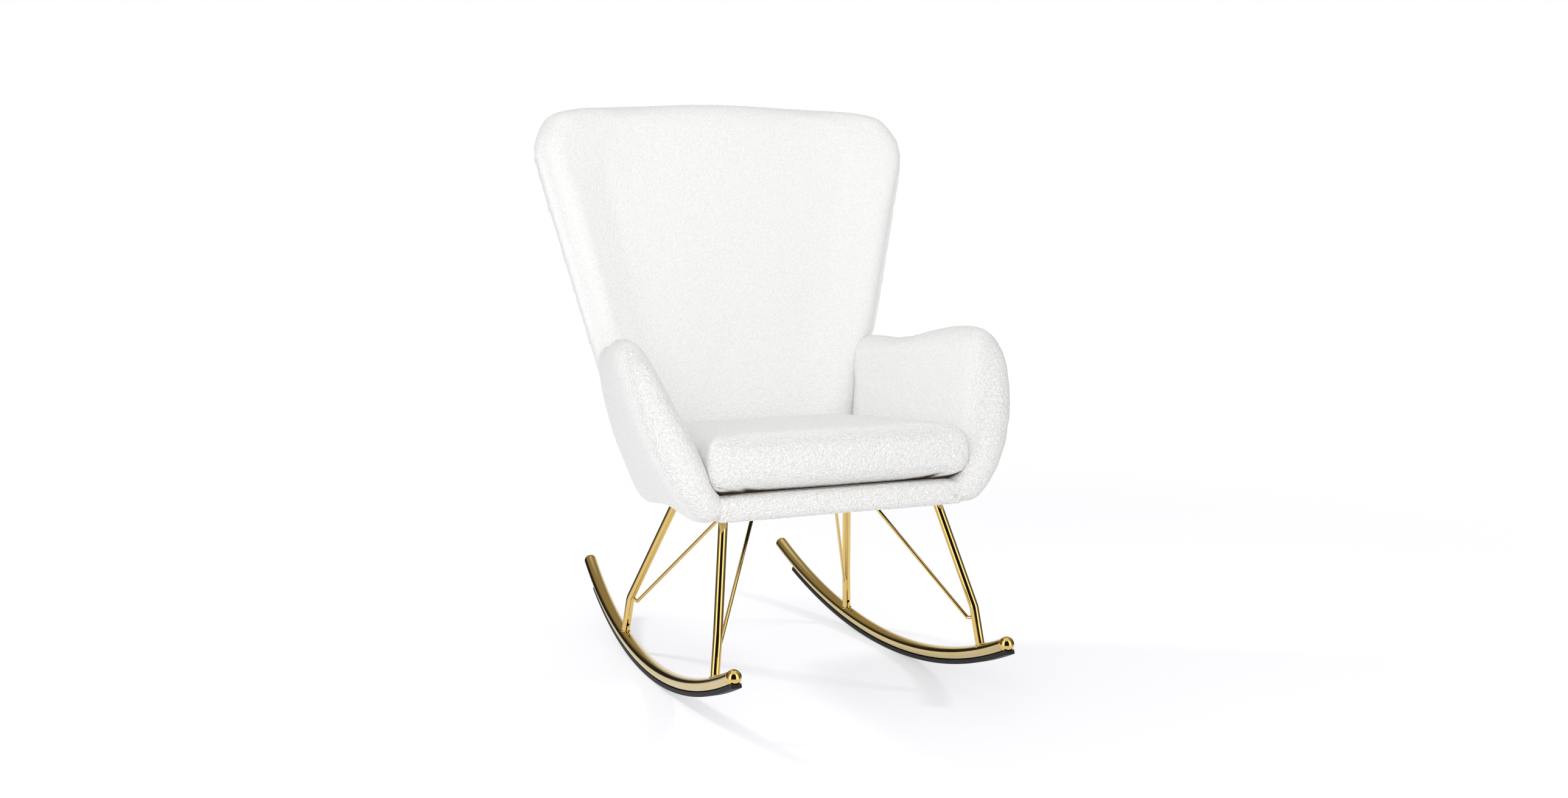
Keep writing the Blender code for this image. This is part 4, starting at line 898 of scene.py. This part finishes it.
def smooth_step(value, low, high):
    share = np.clip((value - low) / (high - low), 0, 1)
    return share * share * (3 - 2 * share)


# %% [markdown]
# ### Back
#
# The wings curl forward, and the pad's thick edge shows as a light band down the
# side of the back. A plain roundover would blur that band, so the corner between
# the edge and the inner face is filled out after the swelling. Further in, a shallow
# fold runs up each wing. Behind the pad a plain panel closes the back.

# %% Back
SEAT_LEVEL, ELBOW_LEVEL, WING_LEVEL, SHOULDER_LEVEL = 0.340, 0.600, 0.950, 1.030
FOOT_HALF, ELBOW_HALF, WING_HALF, SHOULDER_HALF = 0.214, 0.287, 0.375, 0.330
FOOT_WRAP, WING_WRAP = 0.047, 0.071
BACK_SEAT_Y, BACK_RECLINE = 0.1575, 0.193
FOLD_INSET, FOLD_WIDTH, FOLD_DEPTH = 0.112, 0.034, 0.005
EDGE_FILL, MIDDLE_SHARE, TOP_LOSS = 0.008, 0.35, 0.7
CORNER_TUCK = 0.022
# Heights, and distances off the middle, over which each of these sets in or dies away.
FILL_HEIGHTS, FILL_HALVES, TOP_HEIGHTS = (0.52, 0.66), (0.20, 0.27), (0.93, 1.00)
FOLD_START, FOLD_STOP = (0.55, 0.68), (0.86, 0.97)
TUCK_HEIGHTS, TUCK_HALVES, TUCK_DEPTHS = (0.38, 0.46), (0.12, 0.19), (0.0, 0.025)
INNER_FACE = 0.3


def back_middle(x, z):
    """Middle of the back's thickness, as a y for arrays of x and z."""
    up = z - SEAT_LEVEL
    half = np.interp(z, (SEAT_LEVEL, ELBOW_LEVEL, WING_LEVEL), (FOOT_HALF, ELBOW_HALF, WING_HALF))
    wrap = np.interp(z, (SEAT_LEVEL, WING_LEVEL), (FOOT_WRAP, WING_WRAP))
    return BACK_SEAT_Y + BACK_RECLINE * up - wrap * np.minimum(np.abs(x) / half, 1) ** 4


def back_faces(points):
    """Forward direction of the back's inner face at each point."""
    x, z, step = points[:, 0], points[:, 2], 0.002
    lean_x = (back_middle(x + step, z) - back_middle(x - step, z)) / (2 * step)
    lean_z = (back_middle(x, z + step) - back_middle(x, z - step)) / (2 * step)
    faces = np.stack([lean_x, -np.ones(len(x)), lean_z], 1)
    return faces / np.linalg.norm(faces, axis=1)[:, None]


back = soft_copy("back_pad")
even_net(back, voxel=0.0078, rounds=6, draw_in=0.002)
blow_up(back, pressure=1.2, cap=0.006)
# Fill out the edge: fully on the wings, a third as much on the middle, little at the top.
points = points_of(back)
off_middle, height = np.abs(points[:, 0]), points[:, 2]
wings = MIDDLE_SHARE + (1 - MIDDLE_SHARE) * smooth_step(off_middle, *FILL_HALVES)
wings *= smooth_step(height, *FILL_HEIGHTS) * (1 - TOP_LOSS * smooth_step(height, *TOP_HEIGHTS))
square_up(back, back_faces(points), EDGE_FILL * wings)
# Press in the fold along each wing, on the inner face alone.
points = points_of(back)
off_middle, height = np.abs(points[:, 0]), points[:, 2]
faces = back_faces(points)
side = np.interp(height, (ELBOW_LEVEL, WING_LEVEL, SHOULDER_LEVEL), (ELBOW_HALF, WING_HALF, SHOULDER_HALF))
fold = np.exp(-((off_middle - side + FOLD_INSET) / FOLD_WIDTH) ** 2 / 2)
fold *= smooth_step(height, *FOLD_START) * (1 - smooth_step(height, *FOLD_STOP))
fold *= (normals_of(back) * faces).sum(1) > INNER_FACE
set_points(back, points - faces * (FOLD_DEPTH * fold)[:, None])
# The lower corners are tucked in between arm and seat, so no light shows there.
points = points_of(back)
tuck = smooth_step(np.abs(points[:, 0]), *TUCK_HALVES) * (1 - smooth_step(points[:, 2], *TUCK_HEIGHTS))
tuck *= smooth_step(back_middle(points[:, 0], points[:, 2]) - points[:, 1], *TUCK_DEPTHS)
points[:, 0] += np.sign(points[:, 0]) * CORNER_TUCK * tuck
set_points(back, points)
finer(back, 1)
tuft(back, height=0.0005, sway=0.0005, opened=0.15)
hand_over(back, "wing_back", "boucle", teddy, "back_pad")

# %% Rear panel
rear = soft_copy("back_outside")
even_net(rear, voxel=0.0085, rounds=5, draw_in=-0.0022)
finer(rear, 1)
tuft(rear, height=0.0005, sway=0.0006, opened=0.2)
hand_over(rear, "back_rear_panel", "boucle", teddy, "back_outside")

# %% [markdown]
# ### Arms
#
# On each arm one piece of cloth runs over the thick front roll and down the outside,
# where it is drawn flat over the plywood. Pad, board and outside panel are joined
# into one closed form before the net is made, so no gap can show between them. The
# left arm is the mirrored right one.

# %% Arms
FOOT_TUCK = 0.014
FOOT_HEIGHTS, FOOT_FRONTS, FOOT_HALVES = (0.365, 0.405), (-0.315, -0.270), (0.225, 0.262)
RAIL_SEAM = (0.212, -0.335, 0.356)
SEAM_FOLDS = {"reach": 0.026, "depth": 0.0009, "folds": 7}
HEEL = np.array((0.23, 0.072, 0.324))
HEEL_FILL, HEEL_REACH, REAR_FILL = 0.0035, 0.06, 0.002
REAR_DEPTHS = (0.02, 0.13)
# The pile opens where a face turns forward, and half as much where it turns up: there its bumps get deeper
# and its gaps get a darker painted shade.
OPEN_FORWARD, OPEN_UP = (0.1, 0.6), (0.3, 0.8)
right = soft_copy("arm_pad_right", "arm_outside_right", "arm_panel_right")
even_net(right, voxel=0.0066, rounds=5, draw_in=0.0010)
blow_up(right, pressure=1.5, cap=0.005)
# The front foot is tucked in where it meets the rail.
points = points_of(right)
foot = np.full(len(points), FOOT_TUCK)
for axis, limits in ((2, FOOT_HEIGHTS), (1, FOOT_FRONTS), (0, FOOT_HALVES)):
    foot *= 1 - smooth_step(points[:, axis], *limits)
points[:, 0] -= foot
# The plywood's lower rear corner and its rear edge need a little more cloth over them.
heel = HEEL_FILL * np.exp(-(np.linalg.norm((points - HEEL)[:, 1:], axis=1) / HEEL_REACH) ** 2)
heel += REAR_FILL * smooth_step(points[:, 1], *REAR_DEPTHS)
set_points(right, points + normals_of(right) * heel[:, None])
finer(right, 1)
pucker(right, RAIL_SEAM, **SEAM_FOLDS)
bpy.ops.object.duplicate()
left = bpy.context.object
left.data.transform(Matrix.Scale(-1, 4, (1, 0, 0)))
left.data.flip_normals()
for label, pad in (("right", right), ("left", left)):
    normals = normals_of(pad)
    roll = np.maximum(smooth_step(-normals[:, 1], *OPEN_FORWARD),
                      0.5 * smooth_step(normals[:, 2], *OPEN_UP))
    tuft(pad, height=0.0007, sway=0.0006, opened=0.1 + 0.9 * roll)
    hand_over(pad, f"arm_{label}", "boucle", teddy, f"arm_pad_{label}", f"arm_outside_{label}")

# %% [markdown]
# ### Tucks beside the seat
#
# Between the heel of each arm and the foot of the back the upholsterer pushes a fold
# of cloth, so that the seat frame can't be seen from the side. It is a small soft
# wad: a box, rounded by bevel and subdivision and pinched towards its lower end.

# %% Tucks
TUCK_PLACE = (0.203, 0.094, 0.365)
TUCK_SIZE = (0.024, 0.062, 0.078)
TUCK_PINCH = 0.25
TUCK_ROUND = 0.008
for label, side in SIDES.items():
    bpy.ops.mesh.primitive_cube_add(size=1)
    wad = bpy.context.object
    placed(wad, Matrix.Diagonal((*TUCK_SIZE, 1)))
    bevel = wad.modifiers.new("round", "BEVEL")
    bevel.width, bevel.segments = TUCK_ROUND, 3
    apply_all(wad)
    finer(wad, 2)
    points = points_of(wad)
    points[:, :2] *= 1 - TUCK_PINCH * smooth_step(-points[:, 2], 0.0, TUCK_SIZE[2] / 2)[:, None]
    set_points(wad, points + np.array((side * TUCK_PLACE[0], *TUCK_PLACE[1:])))
    outward(wad)
    tuft(wad, height=0.0005, sway=0.0005, opened=0.2)
    hand_over(wad, f"seat_tuck_{label}", "boucle", teddy)

# %% [markdown]
# ### Front rail
#
# A foam roll wraps the front board of the seat. Its cloth is tucked in between the
# arms, so the ends are pressed against them, and its rear edge stands a little above
# the board.

# %% Front rail
RAIL_LIP = 0.002
LIP_HEIGHTS, LIP_DEPTHS = (0.366, 0.378), (-0.325, -0.310)
rail = soft_copy("front_rail_pad")
even_net(rail, voxel=0.0055, rounds=2, draw_in=0.0)
blow_up(rail, pressure=2.0, cap=0.003)
points = points_of(rail)
lip = smooth_step(points[:, 2], *LIP_HEIGHTS) * smooth_step(points[:, 1], *LIP_DEPTHS)
points[:, 2] += RAIL_LIP * lip
set_points(rail, points)
finer(rail, 2)
for side in SIDES.values():
    pucker(rail, (side * RAIL_SEAM[0], *RAIL_SEAM[1:]), **SEAM_FOLDS)
tuft(rail, height=0.0008, sway=0.0006, opened=1.0)
hand_over(rail, "front_rail_roll", "boucle", teddy, "front_rail_pad")

# %% [markdown]
# ### Cushion
#
# The loose cushion is a foam block in a sewn cover: a box with soft edges, fuller at its front corners. Its
# underside has a plain brown lining, which shows as a dark line above the rail, and lies flat on the felt.
# That dark line is partly painted shade: the lining's dark colour draws the shadow in the gap between
# cushion and rail.

# %% Cushion
TOP_EDGE_FILL = 0.006
CORNER_BULGE = 0.007
CUSHION_CORNER = (0.236, -0.325, 0.402)
CORNER_GAP_SHADE = 0.09
BULGE_FRONTS, BULGE_HALVES = (0.20, 0.30), (0.12, 0.235)
LINING_SHADE_HALVES, LINING_SHADE_TURN, FRONT_TURN = (0.12, 0.22), (0.84, 0.92), (0.2, 0.7)
cushion = soft_copy("seat_cushion")
even_net(cushion, voxel=0.0065, rounds=2, draw_in=0.0)
blow_up(cushion, pressure=1.5, cap=0.005)
seat_up = np.array(SEAT_MATRIX.to_3x3().col[2])
square_up(cushion, seat_up, TOP_EDGE_FILL)
points = points_of(cushion)
corner = smooth_step(-points[:, 1], *BULGE_FRONTS) * smooth_step(np.abs(points[:, 0]), *BULGE_HALVES)
points[:, 0] += np.sign(points[:, 0]) * CORNER_BULGE * corner
set_points(cushion, points)
finer(cushion, 1)
for side in SIDES.values():
    pucker(cushion, (side * CUSHION_CORNER[0], *CUSHION_CORNER[1:]), reach=0.03, depth=0.0008, folds=9)
# The lining covers what faces down; as painted shade for the gap above the rail it reaches a little further
# up at the corners.
note = cushion.data.attributes.new("lining_gap_shade", "FLOAT", "POINT")
down = -normals_of(cushion) @ seat_up
down += CORNER_GAP_SHADE * smooth_step(np.abs(points_of(cushion)[:, 0]), *LINING_SHADE_HALVES)
note.data.foreach_set("value", smooth_step(down, *LINING_SHADE_TURN).astype(np.float32))
front = smooth_step(-normals_of(cushion)[:, 1], *FRONT_TURN)
tuft(cushion, height=0.0009, sway=0.0010, opened=0.3 + 0.7 * front)
# It lies flat on the felt, gives way to the arms and presses the tucks aside.
points = np.array([SEAT_BACK @ Vector(point) for point in points_of(cushion)])
points[:, 2] = np.maximum(points[:, 2], seat_points("deck_pad")[:, 2].max() + GAP)
set_points(cushion, np.array([SEAT_MATRIX @ Vector(point) for point in points]))
for label in SIDES:
    give_way(cushion, bpy.data.objects[f"arm_{label}"])
    give_way(bpy.data.objects[f"seat_tuck_{label}"], cushion)
hand_over(cushion, "seat_cushion_pad", "boucle", teddy, "seat_cushion", body="loose_cushion")

# %% [markdown]
# ## Under the cushion
#
# Four elastic webbing straps span the seat frame, a felt pad lies on them, and a thin
# black non-woven cloth closes the frame from below. All three are flat goods, cut and
# stretched, so each is a cut sheet with its own thickness and a small sag. The
# outline of the felt and of the cloth is taken from their solids.


# %% Flat goods
FLUFF_MM = 9


def woven(name, light, dark, pitch_mm, roughness):
    """Cloth of crossing threads: two waves, one along the seat and one across it."""
    made, tree, shader, place = new_finish(name, 0.0, roughness, 0.2)
    threads = []
    for axis in "XY":
        wave = add_node(tree, "TexWave", {"Vector": place, "Scale": 1000 / pitch_mm / math.tau,
            "Distortion": 0.6, "Detail": 1.0}, bands_direction=axis)
        threads.append(wave.outputs["Fac"])
    weave = add_node(tree, "Math", {0: threads[0], 1: threads[1]}, operation="MAXIMUM")
    fluff = add_node(tree, "TexNoise", {"Vector": place, "Scale": 1000 / FLUFF_MM, "Detail": 3.0})
    shade = add_node(tree, "Math", {0: weave, 1: fluff}, operation="MULTIPLY")
    add_node(tree, "Mix", {MIX_SHARE: shade, MIX_FIRST: linear(dark), MIX_SECOND: linear(light)},
        to=shader.inputs["Base Color"], out=MIX_RESULT, data_type="RGBA")
    add_node(tree, "Bump", {"Height": weave, "Strength": 0.5, "Distance": 0.0004},
        to=shader.inputs["Normal"])
    return made


# Elastic webbing: coarse rubber-cored ribs that give the black strap fine grey lines.
webbing_weave = woven("elastic_webbing", "#3A3A3C", "#151516", pitch_mm=3.0, roughness=0.85)
# Needled felt of pale mixed fibres: almost no weave, light grey and dull.
felt = woven("needled_fibre_felt", "#DAD8D3", "#B4B2AD", pitch_mm=1.6, roughness=0.97)
# Spun-bonded cloth: a fine embossed grid that makes it look dotted, soft black.
spun_cloth = woven("black_spun_cloth", "#2A2A2B", "#131314", pitch_mm=2.2, roughness=0.9)
print("flat goods:", webbing_weave.name, felt.name, spun_cloth.name)

# %% Cutting a sheet
SHEET_CELLS = 40
EDGE_FROM = 0.02
SAME_ROW = 0.0002


def cut_sheet(node, thickness, sag):
    """A flat sheet cut to a solid's outline, with a small sag and its own thickness."""
    corners = seat_points(node)
    low, high = corners.min(0), corners.max(0)
    edge = corners[corners[:, 0] > EDGE_FROM]
    rows = np.unique(edge[:, 1].round(4))
    reach = [edge[np.abs(edge[:, 1] - row) < SAME_ROW, 0].max() for row in rows]
    bpy.ops.mesh.primitive_grid_add(x_subdivisions=SHEET_CELLS, y_subdivisions=SHEET_CELLS, size=2)
    sheet = bpy.context.object
    points = points_of(sheet)
    across, along = points[:, 0].copy(), points[:, 1].copy()
    points[:, 1] = low[1] + (high[1] - low[1]) * (along + 1) / 2
    points[:, 0] = across * np.interp(points[:, 1], rows, reach)
    points[:, 2] = low[2] + thickness / 2 - sag * (1 - across ** 2) * (1 - along ** 2)
    set_points(sheet, points)
    sheet.data.transform(SEAT_MATRIX)
    area = sum(face.area for face in sheet.data.polygons)
    wall = sheet.modifiers.new("wall", "SOLIDIFY")
    wall.thickness, wall.offset = thickness, 0
    apply_all(sheet)
    bpy.ops.object.shade_smooth_by_angle(angle=SHARP)
    return sheet, (high[0] - low[0], high[1] - low[1]), area


# %% Felt and black cloth
for node, name, slot, finish, thickness, sag, held in (
        ("deck_pad", "deck_felt", "felt", felt, 0.003, 0.0008, "laid"),
        ("dust_cover", "dust_cloth", "black_cloth", spun_cloth, 0.0008, 0.003, "stretched")):
    sheet, flat, area = cut_sheet(node, thickness, sag)
    hand_over(sheet, name, slot, finish, node)
    print("  cut to", [round(c, 3) for c in flat], "area", round(area, 4))

# %% Straps
STRAP_COUNT = 4
STRAP_SAG = 0.0016
STRAP_HELD, STRAP_CURL = (0.40, 0.78), 0.3
for number in range(1, STRAP_COUNT + 1):
    node = f"webbing_{number}"
    low, high = seat_points(node).min(0), seat_points(node).max(0)
    width, length = high[0] - low[0], high[1] - low[1]
    bpy.ops.mesh.primitive_grid_add(x_subdivisions=8, y_subdivisions=60, size=2)
    strap = bpy.context.object
    points = points_of(strap)
    across, along = points[:, 0].copy(), points[:, 1].copy()
    points[:, 0] = (low[0] + high[0]) / 2 + across * width / 2
    points[:, 1] = (low[1] + high[1]) / 2 + along * length / 2
    free = 1 - smooth_step(np.abs(along), *STRAP_HELD)
    points[:, 2] = (low[2] + high[2]) / 2 - STRAP_SAG * free * (1 - STRAP_CURL * across ** 2)
    set_points(strap, points)
    strap.data.transform(SEAT_MATRIX)
    wall = strap.modifiers.new("wall", "SOLIDIFY")
    wall.thickness, wall.offset = high[2] - low[2], 0
    apply_all(strap)
    bpy.ops.object.shade_smooth_by_angle(angle=SHARP)
    hand_over(strap, f"webbing_strap_{number}", "black_cloth", webbing_weave, node)

# %% [markdown]
# ## Hidden frame
#
# The boards, the black steel and the bolts keep the shape of their solids. They only
# need finishes: birch plywood with its veneers showing on the edges, steel with a thin
# black paint, and bolts with a bright zinc coat.


# %% Finishes of the frame
def two_tone(name, light, dark, metallic, roughness, stretch, depth):
    """A finish whose colour and height follow one streaky noise; streaks in mm along x, y, z."""
    made, tree, shader, place = new_finish(name, metallic, roughness)
    scale = tuple(1000 / size for size in stretch)
    streaks = add_node(tree, "VectorMath", {0: place, 1: scale}, operation="MULTIPLY")
    grain = add_node(tree, "TexNoise", {"Vector": streaks, "Scale": 1.0, "Detail": 4.0, "Roughness": 0.6})
    add_node(tree, "Mix", {MIX_SHARE: grain, MIX_FIRST: linear(dark), MIX_SECOND: linear(light)},
        to=shader.inputs["Base Color"], out=MIX_RESULT, data_type="RGBA")
    add_node(tree, "Bump", {"Height": grain, "Strength": 0.3, "Distance": depth},
        to=shader.inputs["Normal"])
    return made


# Birch veneer: pale, with long grain across the chair and 1.5 mm plies on the edges.
plywood = two_tone("birch_plywood", "#E2C79C", "#B58E5C", metallic=0.0, roughness=0.6,
                   stretch=(60, 5, 1.5), depth=0.0002)
# Sprayed black paint: satin, with a slight orange-peel surface about 3 mm across.
black_paint = two_tone("black_painted_steel", "#232324", "#161617", metallic=0.0, roughness=0.42,
                       stretch=(3, 3, 3), depth=0.0001)
# Zinc plate: light grey metal with a cloudy sheen.
zinc = two_tone("zinc_plated_steel", "#C9CDD2", "#9EA3A9", metallic=1.0, roughness=0.34,
                stretch=(4, 4, 4), depth=0.00005)
left_over = {"bolt": zinc, "bar": black_paint, "plate": black_paint, "rail": plywood, "panel": plywood,
             "frame": plywood}
finished = []
for name, solid in nodes.items():
    for word, finish in left_over.items():
        if word in name and "pad" not in name:
            finished.append(name)
            for place in solid.material_slots:
                place.material = finish
print("finished solids:", len(finished))
